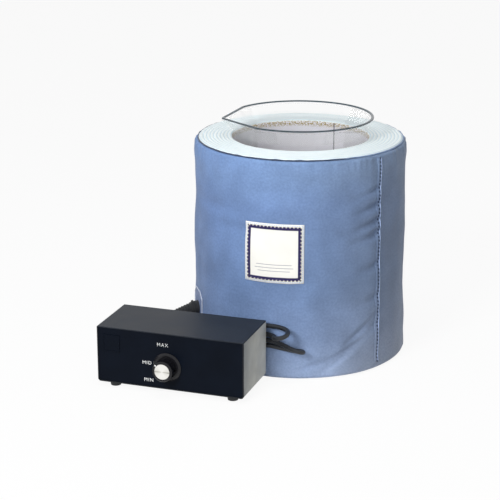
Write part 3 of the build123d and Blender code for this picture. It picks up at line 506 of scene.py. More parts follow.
# turn, height, slope, half height and depth of each fold near the foot
FOLDS = [(-66, 34, 0.55, 4.5, 4.2), (-72, 20, 0.6, 4.0, 3.4), (-58, 56, 0.7, 5.5, 3.2),
         (-84, 18, 0.3, 4.5, 2.2)]


def round_wall(turn, at):
    """Way round the wall from one turn to another, in mm, below 0 on the left."""
    return (((turn - at + 180) % 360) - 180) * MM_A_DEGREE


def cloth_offset(turn, z):
    """How far the cloth stands out from the plain wall, in mm."""
    x, y, z = polar(WALL_MID, math.radians(turn), z)
    swell = noise.noise(Vector((x, y, z)) / 62)
    crease = noise.noise(Vector((x + 300, y, z * 0.7)) / 19)
    gather = noise.noise(Vector((x, y, 0)) / 6.5)
    d = 0.7 + 1.9 * swell + 0.8 * crease
    d += 2.8 * gather * math.exp(-(TOP_Z_MM - z) / 11) + 1.1 * math.exp(-((z - 261) / 9) ** 2)
    d += 2.6 * math.exp(-z / 13)
    for at, height, wide, tall, deep in DENTS:
        d += deep * math.exp(-(round_wall(turn, at) / wide) ** 2 - ((z - height) / tall) ** 2)
    seam = round_wall(turn, SEAM_TURN)
    if seam < 2:
        d += 2.2 * math.exp(-((seam + 14) / 17) ** 2 - ((z - 150) / 95) ** 4)
    d += 1.5 * math.exp(-((seam + 21 * MM_A_DEGREE) / 50) ** 2 - ((z - 42) / 28) ** 2)
    for height, tall, deep in PUCKERS:
        if seam < 2:
            away = max(0, -seam) / 9
            d -= deep * away * math.exp(1 - away - ((z - height - seam * 0.25) / tall) ** 2)
    for at, height, slope, tall, deep in FOLDS:
        du = round_wall(turn, at)
        d -= deep * math.exp(-(du / 24) ** 2 - ((z - height - slope * du) / tall) ** 2)
    fade = min(1, max(0, (z + 1) / 7)) * min(1, max(0, (TOP_Z_MM - z + 2) / 5))
    return max(-1.3, d) * fade


def on_cloth(turn, z, out=0.0):
    """Point on the cloth, out mm proud of it."""
    return polar(wall_r(z) + cloth_offset(turn, z) + out, math.radians(turn), z)


print("cloth stands out half way up by", [round(cloth_offset(turn, 140), 1) for turn in (-135, -90, -45)])


# %% Side cloth
BLUE = (0.165, 0.265, 0.50)


def side_weave():
    """Blue weave with painted light and shade: paler towards the foot, where light bounces up from the floor,
    and lighter at the shoulder; darker and greyer towards the left and right edges.
    """
    m = woven("side_blue", BLUE, 1.3, 0.25, 0.16, 0.6, 0.05)
    spread = main_of(m).inputs["Base Color"].links[0].from_socket
    at = axes(m, place(m))
    cloudy = maths(m, "MULTIPLY", grain(m, place(m), 16, 2), 0.06)
    # painted light: paler near the foot, where the floor's light bounces in, and lighter at the shoulder
    foot_and_shoulder_light = ramp(m, maths(m, "MULTIPLY", maths(m, "ADD", at["Z"], cloudy), 1000 / 300),
                  [(0.08, (2.0, 1.65, 1.34)), (0.28, (1.28, 1.16, 1.06)), (0.5, (0.92, 0.91, 0.89)),
                   (0.82, (0.96, 0.96, 0.96)), (0.95, (1.16, 1.15, 1.10))])
    # painted shade: darker and greyer towards the left and right edges of the wall
    edge_shade = ramp(m, maths(m, "MULTIPLY_ADD", maths(m, "ADD", at["X"], cloudy), 1000 / 300, 0.4),
                 [(0.05, (0.80, 0.83, 0.88)), (0.25, (0.98, 0.99, 1.0)), (0.55, (1.0, 0.97, 0.93)),
                  (0.75, (0.95, 0.86, 0.76)), (0.95, (0.92, 0.80, 0.68))])
    slubs = ramp(m, grain(m, place(m, cloth=True), 360, 1),
                 [(0.3, (0.90, 0.91, 0.93)), (0.7, (1.10, 1.09, 1.07))])
    tie(m, tinted(m, tinted(m, tinted(m, spread, foot_and_shoulder_light), edge_shade), slubs), "Base Color")
    return m


side_blue = side_weave()
AROUND, COVER_T, WALL_ROUND = 420, 1.6, 842.0
HEM_R, HEM_Z, FOOT_END = 122.4, 0.3, 12


def side_profile():
    """Section from the foot's hem, up the outside and back down the inside: (radius, z, moves with cloth)."""
    r_foot, r_top = wall_r(FOOT_ROUND), wall_r(TOP_Z_MM)
    r_flat, r_rim, z_rim = r_foot - FOOT_ROUND, r_top - SHOULDER * 0.8, TOP_Z_MM - SHOULDER
    out = [(HEM_R, HEM_Z, 0), (r_flat, HEM_Z, 0)]
    for k in range(1, 7):
        a = math.pi / 2 * k / 6
        out.append((r_flat + FOOT_ROUND * math.sin(a), HEM_Z + FOOT_ROUND * (1 - math.cos(a)), 1))
    heights = [FOOT_END + (z_rim - FOOT_END) * k / 150 for k in range(151)]
    out += [(wall_r(z), z, 1) for z in heights]
    for k in range(1, 6):
        a = math.pi / 2 * k / 5
        out.append((r_top - SHOULDER * 0.8 * (1 - math.cos(a)), TOP_Z_MM - SHOULDER * (1 - math.sin(a)), 1))
    inner = [(r_rim, TOP_Z_MM - COVER_T, 0), (r_top - COVER_T, z_rim, 0), (r_foot - COVER_T, FOOT_END, 0),
             (r_flat, HEM_Z + COVER_T, 0), (HEM_R, HEM_Z + COVER_T, 0)]
    return out + inner


def side_rows():
    turns = [360 * i / AROUND for i in range(AROUND)]
    return [[polar(r + (cloth_offset(turn, z) if moves else 0), math.radians(turn), z) for turn in turns]
            for r, z, moves in side_profile()]


profile_z = [p[1] for p in side_profile()]
side = skin("side_cloth", side_rows(), side_blue, close_cols=True,
            maps=lambda a, b: (b * WALL_ROUND / AROUND, profile_z[a % len(profile_z)]))
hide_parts("side_cover")
print("side cloth faces", len(side.data.polygons))

# %% [markdown]
# Stitches are one tiny shape repeated along a line, which is work for Geometry Nodes. The line is resampled
# to the stitch pitch, a stitch is set on every point and turned along the line, and then all become mesh.

# %% Stitch tree
def new_tree(name, numbers):
    """Tree that takes a geometry, named numbers and a material; with it, what makes and links its nodes."""
    t = bpy.data.node_groups.new(name, "GeometryNodeTree")
    face = t.interface
    face.new_socket("Geometry", in_out="INPUT", socket_type="NodeSocketGeometry")
    for label, value in numbers:
        face.new_socket(label, in_out="INPUT", socket_type="NodeSocketFloat").default_value = value
    face.new_socket("Material", in_out="INPUT", socket_type="NodeSocketMaterial")
    face.new_socket("Geometry", in_out="OUTPUT", socket_type="NodeSocketGeometry")
    return t, t.nodes.new, t.links.new


def end_tree(t, geometry, material):
    """Every tree ends alike: its instances become real and get the material."""
    real, finish = t.nodes.new("GeometryNodeRealizeInstances"), t.nodes.new("GeometryNodeSetMaterial")
    t.links.new(geometry, real.inputs[0])
    t.links.new(real.outputs[0], finish.inputs["Geometry"])
    t.links.new(material, finish.inputs["Material"])
    t.links.new(finish.outputs[0], t.nodes.new("NodeGroupOutput").inputs[0])
    return t


def stitch_tree():
    t, make, link = new_tree("stitch_run", (("Pitch", 0.003), ("Length", 0.0011), ("Width", 0.0004)))
    start, to_curve = make("NodeGroupInput").outputs, make("GeometryNodeMeshToCurve")
    spaced = make("GeometryNodeResampleCurve")
    spaced.mode = "LENGTH"
    tangent, turn = make("GeometryNodeInputTangent"), make("FunctionNodeAlignRotationToVector")
    turn.axis = "X"
    bead, size = make("GeometryNodeMeshIcoSphere"), make("ShaderNodeCombineXYZ")
    bead.inputs["Radius"].default_value = 1.0
    bead.inputs["Subdivisions"].default_value = 2
    set_on = make("GeometryNodeInstanceOnPoints")
    link(start["Geometry"], to_curve.inputs[0])
    link(to_curve.outputs[0], spaced.inputs["Curve"])
    link(start["Pitch"], spaced.inputs["Length"])
    link(tangent.outputs[0], turn.inputs["Vector"])
    for i, name in enumerate(("Length", "Width", "Width")):
        link(start[name], size.inputs[i])
    for socket, name in ((spaced.outputs[0], "Points"), (bead.outputs["Mesh"], "Instance"),
                         (turn.outputs[0], "Rotation"), (size.outputs[0], "Scale")):
        link(socket, set_on.inputs[name])
    return end_tree(t, set_on.outputs[0], start["Material"])


def grown(name, base, tree, inputs, material, solid_mm=0):
    """Plain mesh that a tree grows from a base mesh, its inputs set by their identifiers."""
    maker = placed(name + "_base", base)
    mod = maker.modifiers.new("grow", "NODES")
    mod.node_group = tree
    for item in tree.interface.items_tree:
        if item.in_out == "INPUT" and item.name in inputs:
            mod[item.identifier] = inputs[item.name]
    if solid_mm:
        wall = maker.modifiers.new("wall", "SOLIDIFY")
        wall.thickness, wall.offset = solid_mm * MM, -1
    graph = bpy.context.evaluated_depsgraph_get()
    mesh = bpy.data.meshes.new_from_object(maker.evaluated_get(graph))
    mesh.name = name
    maker.modifiers.clear()
    bpy.data.objects.remove(maker)
    mesh.materials.clear()
    mesh.polygons.foreach_set("use_smooth", [True] * len(mesh.polygons))
    return linked(name, mesh, material)


def stitches(name, lines, pitch_mm, size_mm, material):
    """Stitches along lines of points in mm."""
    base = bpy.data.meshes.new(name + "_line")
    points, edges = [], []
    for line in lines:
        edges += [(len(points) + i, len(points) + i + 1) for i in range(len(line) - 1)]
        points += [[c * MM for c in p] for p in line]
    base.from_pydata(points, edges, [])
    obj = grown(name, base, STITCH, {"Pitch": pitch_mm * MM, "Length": size_mm[0] * MM,
                                     "Width": size_mm[1] * MM, "Material": material}, material)
    print(name, "faces", len(obj.data.polygons))
    return obj


STITCH = stitch_tree()

# %% [markdown]
# The top is a pale cloth ring, quilted in circles so that it stays flat while the wall is stuffed. Its shape
# follows a rule, radius by radius, so a tree makes it from a grid: one way runs round, the other outwards.

# %% Ring quilted top
TOP_IN, TOP_OUT, RINGS, RIDGE_H = 88.2, 127.5, 9, 1.5
RIPPLE_LEAST = 0.45         # share of a ridge's height that is always there


def quilt_tree():
    t, make, link = new_tree("ring_quilt", (("Inner", 0.088), ("Outer", 0.127), ("Rings", 9.0),
                                            ("Ridge", 0.0015), ("Height", 0.276), ("Seed", 3.0)))

    def calc(how, *terms):
        n = make("ShaderNodeMath")
        n.operation = how
        for i, x in enumerate(terms):
            if isinstance(x, (int, float)):
                n.inputs[i].default_value = x
            else:
                link(x, n.inputs[i])
        return n.outputs[0]

    def vector(*parts):
        n = make("ShaderNodeCombineXYZ")
        for i, x in enumerate(parts):
            link(x, n.inputs[i])
        return n.outputs[0]

    size, grid = make("NodeGroupInput").outputs, make("GeometryNodeMeshGrid")
    grid.inputs["Vertices X"].default_value, grid.inputs["Vertices Y"].default_value = 241, 91
    split = make("ShaderNodeSeparateXYZ")
    link(make("GeometryNodeInputPosition").outputs[0], split.inputs[0])
    turn = calc("MULTIPLY", split.outputs["X"], 2 * math.pi)
    across = calc("ADD", split.outputs["Y"], 0.5)
    radius = calc("MULTIPLY_ADD", across, calc("SUBTRACT", size["Outer"], size["Inner"]), size["Inner"])
    x, y = (calc("MULTIPLY", radius, calc(how, turn)) for how in ("COSINE", "SINE"))
    ripple = make("ShaderNodeTexNoise")
    ripple.inputs["Scale"].default_value = 70
    link(vector(x, y, size["Seed"]), ripple.inputs["Vector"])
    wave = calc("ABSOLUTE", calc("SINE", calc("MULTIPLY", across, calc("MULTIPLY", size["Rings"], math.pi))))
    ridge = calc("MULTIPLY", calc("POWER", wave, 0.6), size["Ridge"])
    lift = calc("MULTIPLY", ridge, calc("ADD", ripple.outputs[0], RIPPLE_LEAST))
    put, weld = make("GeometryNodeSetPosition"), make("GeometryNodeMergeByDistance")
    link(grid.outputs["Mesh"], put.inputs["Geometry"])
    link(vector(x, y, calc("ADD", lift, size["Height"])), put.inputs["Position"])
    weld.inputs["Distance"].default_value = 0.00002
    link(put.outputs[0], weld.inputs[0])
    return end_tree(t, weld.outputs[0], size["Material"])


def cloth_map_flat(mesh):
    """Cloth map by the floor plan, for cloth that lies flat."""
    layer = mesh.uv_layers.get("cloth") or mesh.uv_layers.new(name="cloth")
    for loop, data in zip(mesh.loops, layer.data):
        co = mesh.vertices[loop.vertex_index].co
        data.uv = (co.x, co.y)


def ringed_cloth():
    """Pale weave, with painted shade: darker and bluer in the stitched valleys between the rings."""
    m = woven("top_white", (0.72, 0.84, 0.90), 0.9, 0.1, 0.05, 0.8, 0.2)
    at = axes(m, place(m))
    squares = [maths(m, "MULTIPLY", at[way], at[way]) for way in "XY"]
    from_edge = maths(m, "SUBTRACT", maths(m, "SQRT", maths(m, "ADD", *squares)), TOP_IN * MM)
    rings = maths(m, "MULTIPLY", from_edge, RINGS * math.pi / ((TOP_OUT - TOP_IN) * MM))
    # painted shade in the valleys between the rings
    valley_shade = maths(m, "ABSOLUTE", maths(m, "SINE", rings))
    tie(m, ramp(m, valley_shade, [(0.0, (0.44, 0.63, 0.76)), (0.3, (0.78, 0.88, 0.91)), (0.9, (0.86, 0.93, 0.94))]),
        "Base Color")
    return m


top_white = ringed_cloth()
seed = bpy.data.meshes.new("seed")
seed.from_pydata([(0, 0, 0)], [], [])
top = grown("top_cloth", seed, quilt_tree(),
            {"Inner": TOP_IN * MM, "Outer": TOP_OUT * MM, "Rings": float(RINGS),
             "Ridge": RIDGE_H * MM / (1 + RIPPLE_LEAST), "Height": TOP_Z_MM * MM, "Seed": 3.0,
             "Material": top_white}, top_white, solid_mm=2.0)
outward(top.data)
cloth_map_flat(top.data)
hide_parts("top_cover")
ring_lines = [[polar(TOP_IN + (TOP_OUT - TOP_IN) * k / RINGS, math.pi * i / 60, TOP_Z_MM + 0.15)
               for i in range(121)] for k in range(1, RINGS)]
ring_thread = moulded("ring_thread", (0.50, 0.65, 0.75), 0.7, 2500)
stitches("top_stitches", ring_lines, 4.2, (1.3, 0.28), ring_thread)

# %% [markdown]
# Where the top meets the side, the seam is turned out as a thin dark edge that wanders a little, as hand
# guided sewing does.

# %% Piped edge
def edge_binding():
    """Dark bias tape, worn to the blue of the wall beside the upright seam."""
    m = woven("edge_dark", (0.05, 0.075, 0.13), 0.8, 0.1, 0.2)
    patchy = maths(m, "MULTIPLY", grain(m, place(m), 60, 3), 0.05)
    tie(m, ramp(m, maths(m, "MULTIPLY", maths(m, "ADD", axes(m, place(m))["X"], patchy), 10),
                [(0.55, (0.035, 0.055, 0.11)), (0.95, (0.22, 0.32, 0.52))]), "Base Color")
    return m


EDGE_POINTS, EDGE_R, EDGE_THICK = 300, 129.6, 0.8


def edge_line():
    line = []
    for i in range(EDGE_POINTS):
        a = math.radians(1.2 * i)
        x, y = math.cos(a), math.sin(a)
        r = EDGE_R + 0.9 * noise.noise(Vector((x, y, 0)) * 9)
        line.append(polar(r, a, TOP_Z_MM + 0.9 + 0.6 * noise.noise(Vector((y, 2, x)) * 14)))
    return line


edge = tube("top_edge", edge_line(), EDGE_THICK, edge_binding(), closed=True)
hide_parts("top_piping")
print("edge faces", len(edge.data.polygons))

# %% [markdown]
# Inside, a knitted glass bag holds the beaker. Its mouth is a selvedge flecked with yellow brown binder,
# and one dark join runs down it. It is turned from a section, with knit in its bump.

# %% Knitted liner
LINER_IN, LINER_OUT, WELL_FLOOR, HEEL = 86.0, 88.0, 33.7, 12.0
LINER_STEPS, LINER_ROUND = 240, 540.0
SELVEDGE_Z = 269.5


def knit():
    m = shader("knit_grey", (0.90, 0.89, 0.94), 0.9)
    at = place(m, cloth=True)
    loops = add(m, "ShaderNodeTexWave", [("Vector", at)], bands_direction="DIAGONAL", Scale=210,
                Distortion=3.0, Detail=2).outputs["Fac"]
    spot = grain(m, at, 520, 2)
    above = maths(m, "SUBTRACT", axes(m, place(m))["Z"], SELVEDGE_Z * MM)
    near_top = add(m, "ShaderNodeClamp", [("Value", maths(m, "MULTIPLY", above, 300))]).outputs[0]
    flecks = maths(m, "MULTIPLY", near_top, maths(m, "GREATER_THAN", spot, 0.50))
    plain = ramp(m, loops, [(0.2, (0.84, 0.83, 0.90)), (0.7, (0.95, 0.94, 0.99))])
    mix = add(m, "ShaderNodeMix", data_type="RGBA")
    m.node_tree.links.new(flecks, mix.inputs[0])
    m.node_tree.links.new(plain, mix.inputs[6])
    mix.inputs[7].default_value = (0.42, 0.34, 0.16, 1)
    tie(m, mix.outputs[2], "Base Color")
    bump(m, loops, 0.4)
    return m


def liner_profile():
    points = [(2.0, WELL_FLOOR), (LINER_IN - HEEL, WELL_FLOOR)]
    points += [(LINER_IN - HEEL + HEEL * math.sin(a), WELL_FLOOR + HEEL * (1 - math.cos(a)))
               for a in (math.pi / 12 * k for k in range(1, 7))]
    points += [(LINER_IN, z) for z in (60, 120, 180, 230, 262, 270, 275.5)]
    points += [(LINER_IN + 0.35, 277.1), (87.0, 277.5), (LINER_OUT - 0.35, 277.0), (LINER_OUT, 275.5)]
    points += [(LINER_OUT, z) for z in (230, 120, 60)]
    points += [(LINER_OUT - 14, WELL_FLOOR - 2), (2.0, WELL_FLOOR - 2)]
    return points


def liner_rows():
    rows = []
    for r, z in liner_profile():
        row = []
        for i in range(LINER_STEPS):
            a = math.radians(1.5 * i)
            x, y = math.cos(a), math.sin(a)
            give = 0.25 * noise.noise(Vector((x * 6, y * 6, z / 25))) if r > 80 else 0
            rise = 0.5 * noise.noise(Vector((x * 11, y * 11, 3))) - 0.4 if z > 270 else 0
            row.append(polar(r + give, a, z + rise))
        rows.append(row)
    return rows


liner_z = [p[1] for p in liner_profile()]
liner = skin("knit_liner", liner_rows(), knit(), close_cols=True,
             maps=lambda a, b: (b * LINER_ROUND / LINER_STEPS, liner_z[a % len(liner_z)]))
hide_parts("heater_liner")
join_dark = moulded("join_dark", (0.10, 0.09, 0.12), 0.9)
tube("liner_join", [polar(LINER_IN - 0.1, math.radians(57.6), 277 - 6 * k) for k in range(36)], 0.7,
     join_dark, sides=6)
print("liner faces", len(liner.data.polygons))

# %% [markdown]
# The upright seam is a doubled strip, stitched in dark thread on its left and finished with a fine pale
# piping on its right. All of it lies on the cloth by the same rule.

# %% Upright seam
# across the cloth and out from it, in mm
STRIP_SECTION = [(-4.5, -0.4), (-4.3, 0.55), (-3.6, 0.85), (-1.5, 0.6), (0.5, 0.9), (2.6, 0.8), (4.2, 0.6),
                 (4.5, -0.4)]


def wandering(z, shift=0.0):
    """Turn of the seam at a height; shift moves it along the cloth in mm."""
    return SEAM_TURN + (shift - 2.0 + 0.9 * noise.noise(Vector((7, 3, z / 45)))) / MM_A_DEGREE


seam_z = [11 + 261 * k / 130 for k in range(131)]
strip_rows = [[on_cloth(wandering(z, u), z, out) for u, out in STRIP_SECTION] for z in seam_z]
strip_ends = [[on_cloth(wandering(z), z, 0.2)] * len(STRIP_SECTION) for z in (seam_z[0], seam_z[-1])]
seam = skin("seam_strip", [strip_ends[0], *strip_rows, strip_ends[1]], side_blue, close_rows=True,
            maps=lambda a, b: (b * 1.3, seam_z[min(max(a - 1, 0), len(seam_z) - 1)]))
thread_dark = moulded("thread_dark", (0.012, 0.018, 0.05), 0.8)
thread_pale = moulded("thread_pale", (0.42, 0.54, 0.80), 0.8)
stitches("seam_stitches", [[on_cloth(wandering(z, -0.6), z, 1.15) for z in seam_z]], 4.6, (1.4, 0.7),
         thread_dark)
tube("seam_piping", [on_cloth(wandering(z, 1.4), z, 0.95) for z in seam_z], 0.55, thread_pale, sides=6)

# %% [markdown]
# A field of cream tape is sewn on the front. It carries only a woven navy frame and plain ruled lines.
# Pale overlock stitches cross the frame's edges.

# %% Sewn field
LABEL_TURN, LABEL_HALF, LABEL_Z = -105.2, 36.8, 161.8


def field_point(u, v, out):
    """Point of the field: u along the wall and v up from its middle, in mm."""
    sag = -1.2 * (1 - (u / LABEL_HALF) ** 2) * max(0, -v / LABEL_HALF)
    z = LABEL_Z + v + sag
    return on_cloth(LABEL_TURN + u / MM_A_DEGREE, z, out)


def patch_block(name, u0, u1, v0, v1, low, high, material, point, steps=24):
    """Thin slab between two corners on the cloth, with its own thickness and closed ends."""
    us = [u0 + (u1 - u0) * i / steps for i in range(steps + 1)]
    vs = [v0 + (v1 - v0) * i / steps for i in range(steps + 1)]
    u_of, v_of, middle = us + us[::-1], [v0, *vs, v1], (low + high) / 2

    def row(v, front, back):
        return [point(u, v, front) for u in us] + [point(u, v, back) for u in reversed(us)]

    rows = [row(v0, middle, middle), *[row(v, high, low) for v in vs], row(v1, middle, middle)]
    return skin(name, rows, material, maps=lambda a, b: (u_of[b % len(u_of)], v_of[a]))


def walk(corners, steps):
    """Points evenly spaced along each side of a closed outline."""
    return [(p + (r - p) * k / steps, q + (s - q) * k / steps)
            for (p, q), (r, s) in zip(corners, corners[1:] + corners[:1]) for k in range(steps)]


cream = woven("field_cream", (0.88, 0.87, 0.82), 0.7, 0.08, 0.05, 0.8, 0.2)
navy = woven("frame_navy", (0.022, 0.016, 0.085), 0.8, 0.15, 0.25, 0.75, 0.2)
field = patch_block("sewn_field", -LABEL_HALF, LABEL_HALF, -LABEL_HALF, LABEL_HALF, -0.3, 0.9, cream,
                    field_point)
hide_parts("label_field")
FRAME_MARGIN, FRAME_W = 3.0, 4.2
far = LABEL_HALF - FRAME_MARGIN
near = LABEL_HALF - FRAME_MARGIN - FRAME_W
BARS = [(-far, far, near, far), (-far, far, -far, -near), (-far, -near, -near, near),
        (near, far, -near, near)]
for i, corners in enumerate(BARS):
    patch_block(f"field_frame_{i}", *corners, 0.7, 1.25, navy, field_point, 16)


def box_line(half, out):
    square = [(-half, -half), (half, -half), (half, half), (-half, half)]
    line = [field_point(u, v, out) for u, v in walk(square, 20)]
    return [*line, line[0]]


overlock = moulded("thread_cream", (0.75, 0.73, 0.66), 0.8)
stitches("field_overlock", [box_line(far - 0.3, 1.25)], 4.6, (0.85, 1.25), overlock)
stitches("field_stitches", [box_line(LABEL_HALF - 1.4, 0.95)], 2.8, (1.0, 0.35), thread_pale)
ruled = moulded("ruled_grey", (0.20, 0.20, 0.28), 0.8)
for i, (half, v) in enumerate([(22, -14), (24, -18), (20, -22)]):
    patch_block(f"ruled_line_{i}", -half, half, v - 0.25, v + 0.25, 0.75, 1.0, ruled, field_point, 10)
print("field", 2 * LABEL_HALF, "mm square, frame bars", len(BARS))

# %% [markdown]
# Round the inlet a doubled patch with cut top corners stiffens the cloth. It has a pale piped edge.

# %% Inlet patch
PATCH_HALF_W, PATCH_HALF_H, CUT = 20.0, 27.0, 9.0


def patch_edge(v):
    """Half width of the patch at a height from its middle."""
    return PATCH_HALF_W - max(0, v - (PATCH_HALF_H - CUT))


def patch_point(u, v, out):
    return on_cloth(INLET_TURN + u * patch_edge(v) / PATCH_HALF_W / MM_A_DEGREE, INLET_Z + v, out)


patch_blue = woven("patch_blue", (0.12, 0.19, 0.40), 0.9, 0.12, 0.12, 0.7, 0.3)
patch = patch_block("inlet_cloth", -PATCH_HALF_W, PATCH_HALF_W, -PATCH_HALF_H, PATCH_HALF_H, -0.2, 1.1,
                    patch_blue, patch_point)
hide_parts("inlet_patch")
cut_at = (PATCH_HALF_H - CUT) / PATCH_HALF_H
outline = [(-1, -1), (1, -1), (1, cut_at), (1, 1), (-1, 1), (-1, cut_at)]
piping_line = [patch_point(u * PATCH_HALF_W, v * PATCH_HALF_H, 1.0) for u, v in walk(outline, 12)]
tube("inlet_piping", piping_line, 0.8, woven("piping_pale", (0.55, 0.62, 0.75), 0.8), closed=True, sides=8)
print("inlet patch faces", len(patch.data.polygons))

# %% [markdown]
# The beaker is borosilicate glass with a fire polished lip. The lip is thick and looks dark edge on, and that
# dark is painted: the glass is tinted by height, clear on the wall, deep teal and nearly opaque at the bead.

# %% Glass
LIP_Z, LIP_SHARPNESS = 301.8, 1300
glass = shader("beaker_glass", (1, 1, 1), 0.02, Transmission_Weight=1.0, IOR=1.47)
above = maths(glass, "SUBTRACT", axes(glass, place(glass))["Z"], LIP_Z * MM)
# painted shade: the lip's dark, seen edge on, as a nearly opaque deep teal
lip = add(glass, "ShaderNodeClamp", [("Value", maths(glass, "MULTIPLY", above, LIP_SHARPNESS))]).outputs[0]
tie(glass, ramp(glass, lip, [(0.0, (0.97, 0.99, 1.0)), (1.0, (0.008, 0.03, 0.05))]), "Base Color")
tie(glass, maths(glass, "MULTIPLY_ADD", lip, 0.84, 0.14), "Alpha")
tie(glass, maths(glass, "MULTIPLY_ADD", lip, -0.85, 1.0), "Transmission Weight")
seed_marks = grain(glass, place(glass), 14, 2)
bump(glass, seed_marks, 0.25, 0.25)
print("glass nodes", len(glass.node_tree.nodes))

# %% [markdown]
# The controller's parts keep their shapes and get their finishes here: satin black paint on folded sheet,
# moulded knob and feet, a turned cap, and the plated, brass, copper and laminate parts inside.

# %% Finishes for the solid parts
lid_paint = moulded("lid_paint", (0.020, 0.024, 0.032), 0.45, 1500, 0.03, Specular_IOR_Level=0.13)


def case_axes(m, origin):
    """X, Y and Z along the case's own edges, in metres from a point in mm."""
    own = add(m, "ShaderNodeMapping", [("Vector", place(m))], vector_type="TEXTURE",
              Location=[c * MM for c in origin], Rotation=(0, 0, CASE_YAW))
    return axes(m, own.outputs[0])


def painted_glare_body():
    """Satin black on the folded body, with a painted reflection on its right side behind the front rim: grey,
    lighter towards the back.
    """
    m = moulded("body_paint", (0.05, 0.05, 0.05), 0.55, 1500, 0.03, Specular_IOR_Level=0.3)
    at = case_axes(m, (*CASE_CORNER, CASE_LIFT))
    right_side = maths(m, "GREATER_THAN", at["X"], (CASE_W - 1.4) * MM)
    behind_rim = maths(m, "MULTIPLY", maths(m, "MULTIPLY", at["Y"], 1000 / CASE_D), right_side)
    # painted reflection: glare on the right side, grey and lighter towards the back
    side_glare = ramp(m, behind_rim, [(0.012, (0.012, 0.014, 0.018)), (0.022, (0.32, 0.33, 0.32)),
                                (0.5, (0.56, 0.56, 0.51)), (1.0, (0.66, 0.67, 0.64))])
    smear = ramp(m, grain(m, place(m), 45, 4), [(0.3, (0.78, 0.78, 0.78)), (0.7, (1.0, 1.0, 1.0))])
    tie(m, tinted(m, side_glare, smear), "Base Color")
    return m


panel_paint = moulded("panel_paint", (0.003, 0.005, 0.010), 0.4, 2200, 0.015, Specular_IOR_Level=0.06)
rubber = moulded("black_rubber", (0.012, 0.013, 0.015), 0.62, 900, 0.05)
grip = moulded("knob_black", (0.006, 0.006, 0.008), 0.22, 1800, 0.01, Specular_IOR_Level=0.25,
               Coat_Weight=0.12, Coat_Roughness=0.1)
steel = moulded("plated_steel", (0.55, 0.55, 0.56), 0.35, 700, 0.02, Metallic=1.0)
brass = moulded("brass", (0.60, 0.48, 0.22), 0.35, 700, 0.02, Metallic=1.0)
nickel = moulded("nickel", (0.66, 0.64, 0.58), 0.28, 700, 0.02, Metallic=1.0)
copper = moulded("enamelled_copper", (0.50, 0.16, 0.06), 0.3, 500, 0.3, Metallic=0.8)
laminate = moulded("green_laminate", (0.02, 0.13, 0.045), 0.4, 600, 0.03)
green = moulded("terminal_green", (0.02, 0.16, 0.06), 0.45, 600, 0.03)
yellow = moulded("capacitor_yellow", (0.62, 0.36, 0.02), 0.35, 600, 0.03)
fibre = moulded("ceramic_fibre", (0.80, 0.80, 0.77), 0.95, 250, 0.8)
tape = moulded("heating_tape", (0.68, 0.62, 0.45), 0.9, 450, 0.4)
under = moulded("under_cloth", (0.12, 0.19, 0.40), 0.8, 700, 0.2)
KNOB_X, KNOB_Z, PANEL_Y = 90.8, 28.6, 0.8


def spun_cap():
    """Turned aluminium: streaks fan out from the middle, in the roughness and bump and as painted reflection
    in the colour, and a painted bow tie makes it darker towards the left and the right.
    """
    m = shader("spun_aluminium", (0.93, 0.92, 0.88), 0.32, Metallic=1.0)
    at = case_axes(m, case_point(KNOB_X, PANEL_Y, KNOB_Z))
    turn = maths(m, "ARCTAN2", at["Z"], at["X"])
    # painted reflection: a bow tie, darker where the cap's face turns to the left and the right
    flat = maths(m, "ABSOLUTE", maths(m, "SINE", turn))
    fan = add(m, "ShaderNodeTexNoise", noise_dimensions="1D", Scale=9.0, Detail=5)
    m.node_tree.links.new(turn, fan.inputs["W"])
    streaks_and_bow_tie = maths(m, "ADD", flat, maths(m, "MULTIPLY", fan.outputs["Fac"], 0.35))
    tie(m, ramp(m, streaks_and_bow_tie, [(0.16, (0.42, 0.41, 0.37)), (0.36, (0.80, 0.79, 0.74)),
                             (1.0, (0.95, 0.94, 0.90))]), "Base Color")
    tie(m, maths(m, "MULTIPLY_ADD", fan.outputs["Fac"], 0.2, 0.24), "Roughness")
    bump(m, fan.outputs["Fac"], 0.02, 0.5)
    return m


aluminium = spun_cap()
extruded = moulded("extruded_aluminium", (0.50, 0.50, 0.52), 0.45, 600, 0.05, Metallic=1.0)
FINISHES = {
    painted_glare_body(): ["case_body"], lid_paint: ["case_lid", "rear_panel"],
    panel_paint: ["front_panel", "badge_plate"],
    rubber: ["foot_front_left", "foot_front_right", "foot_rear_left", "foot_rear_right", "mantle_plug",
             "heater_elbow", "mains_elbow", "mains_plug", "inlet_socket", "triac"],
    grip: ["knob_body"], aluminium: ["knob_cap"],
    steel: ["foot_screws", "knob_screw", "dial_shaft", "dial_control"],
    nickel: ["plug_pins", "dial_nut", "fuse"], brass: ["board_standoffs"], copper: ["choke"],
    laminate: ["circuit_board"], green: ["terminal_block"], yellow: ["film_capacitor"],
    extruded: ["heat_sink"], tape: ["heating_tape", "tape_leads"],
    fibre: ["side_insulation", "base_insulation", "top_pad"],
    under: ["base_cover"], glass: ["beaker"],
}


def node_object(name):
    return next(o for o in bpy.context.scene.objects if o.name == name)


for material, names in FINISHES.items():
    for name in names:
        mesh = node_object(name).data
        mesh.materials.clear()
        mesh.materials.append(material)
print("finished nodes", sum(len(v) for v in FINISHES.values()))

# %% [markdown]
# On the panel stand three generic dial words, and on the knob a white pointer that turns with it.

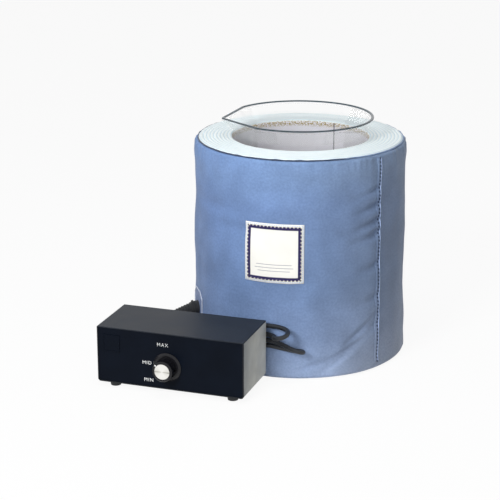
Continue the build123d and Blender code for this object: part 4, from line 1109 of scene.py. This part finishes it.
# %% Dial words and pointer
ink = moulded("white_ink", (0.75, 0.76, 0.76), 0.5, 1500, 0.01)


WORD_SIZE, INK_T = 6.2, 0.04


def panel_word(text, x, z):
    """Raised ink on the front panel, its middle at x, z in the case's frame."""
    font = bpy.data.curves.new("word", "FONT")
    font.body, font.size, font.extrude, font.space_character = text, WORD_SIZE, INK_T, 1.2
    font.align_x = font.align_y = "CENTER"
    maker = placed("word", font)
    bpy.context.view_layer.update()
    mesh = bpy.data.meshes.new_from_object(maker.evaluated_get(bpy.context.evaluated_depsgraph_get()))
    bpy.data.objects.remove(maker)
    for v in mesh.vertices:
        v.co = [c * MM for c in case_point(x + v.co.x, PANEL_Y - INK_T - v.co.z, z + v.co.y)]
    outward(mesh)
    mesh.materials.clear()
    return linked("word_" + text.lower(), mesh, ink)


for text, x, z in (("MAX", 85.0, 55.8), ("MID", 64.5, 31.0), ("MIN", 66.5, 9.2)):
    panel_word(text, x, z)
POINTER_TURN = math.radians(51)


def knob_point(r, side, out):
    """Point on the knob: r from its middle towards the pointer, side across it, out from the panel."""
    x = -r * math.sin(POINTER_TURN) + side * math.cos(POINTER_TURN)
    z = r * math.cos(POINTER_TURN) + side * math.sin(POINTER_TURN)
    return case_point(KNOB_X + x, PANEL_Y - out, KNOB_Z + z)


KNOB_CLEAR, KNOB_LEN, POINTER_HALF = 0.6, 17.0, 0.85
KNOB_FACE = KNOB_CLEAR + KNOB_LEN
section = [(-POINTER_HALF, KNOB_FACE - 0.3), (-POINTER_HALF, KNOB_FACE + 0.12),
           (POINTER_HALF, KNOB_FACE + 0.12), (POINTER_HALF, KNOB_FACE - 0.3)]
rows = [[knob_point(r, side_way, out) for side_way, out in section] for r in (9.9, 10.6, 11.6, 12.1)]
tips = [[knob_point(r, 0, KNOB_FACE - 0.1)] * len(section) for r in (9.9, 12.1)]
skin("knob_pointer", [tips[0], *rows, tips[1]], ink, body="dial")
print("words and pointer made")

# %% [markdown]
# The end.

# %% Finish
bpy.context.view_layer.update()
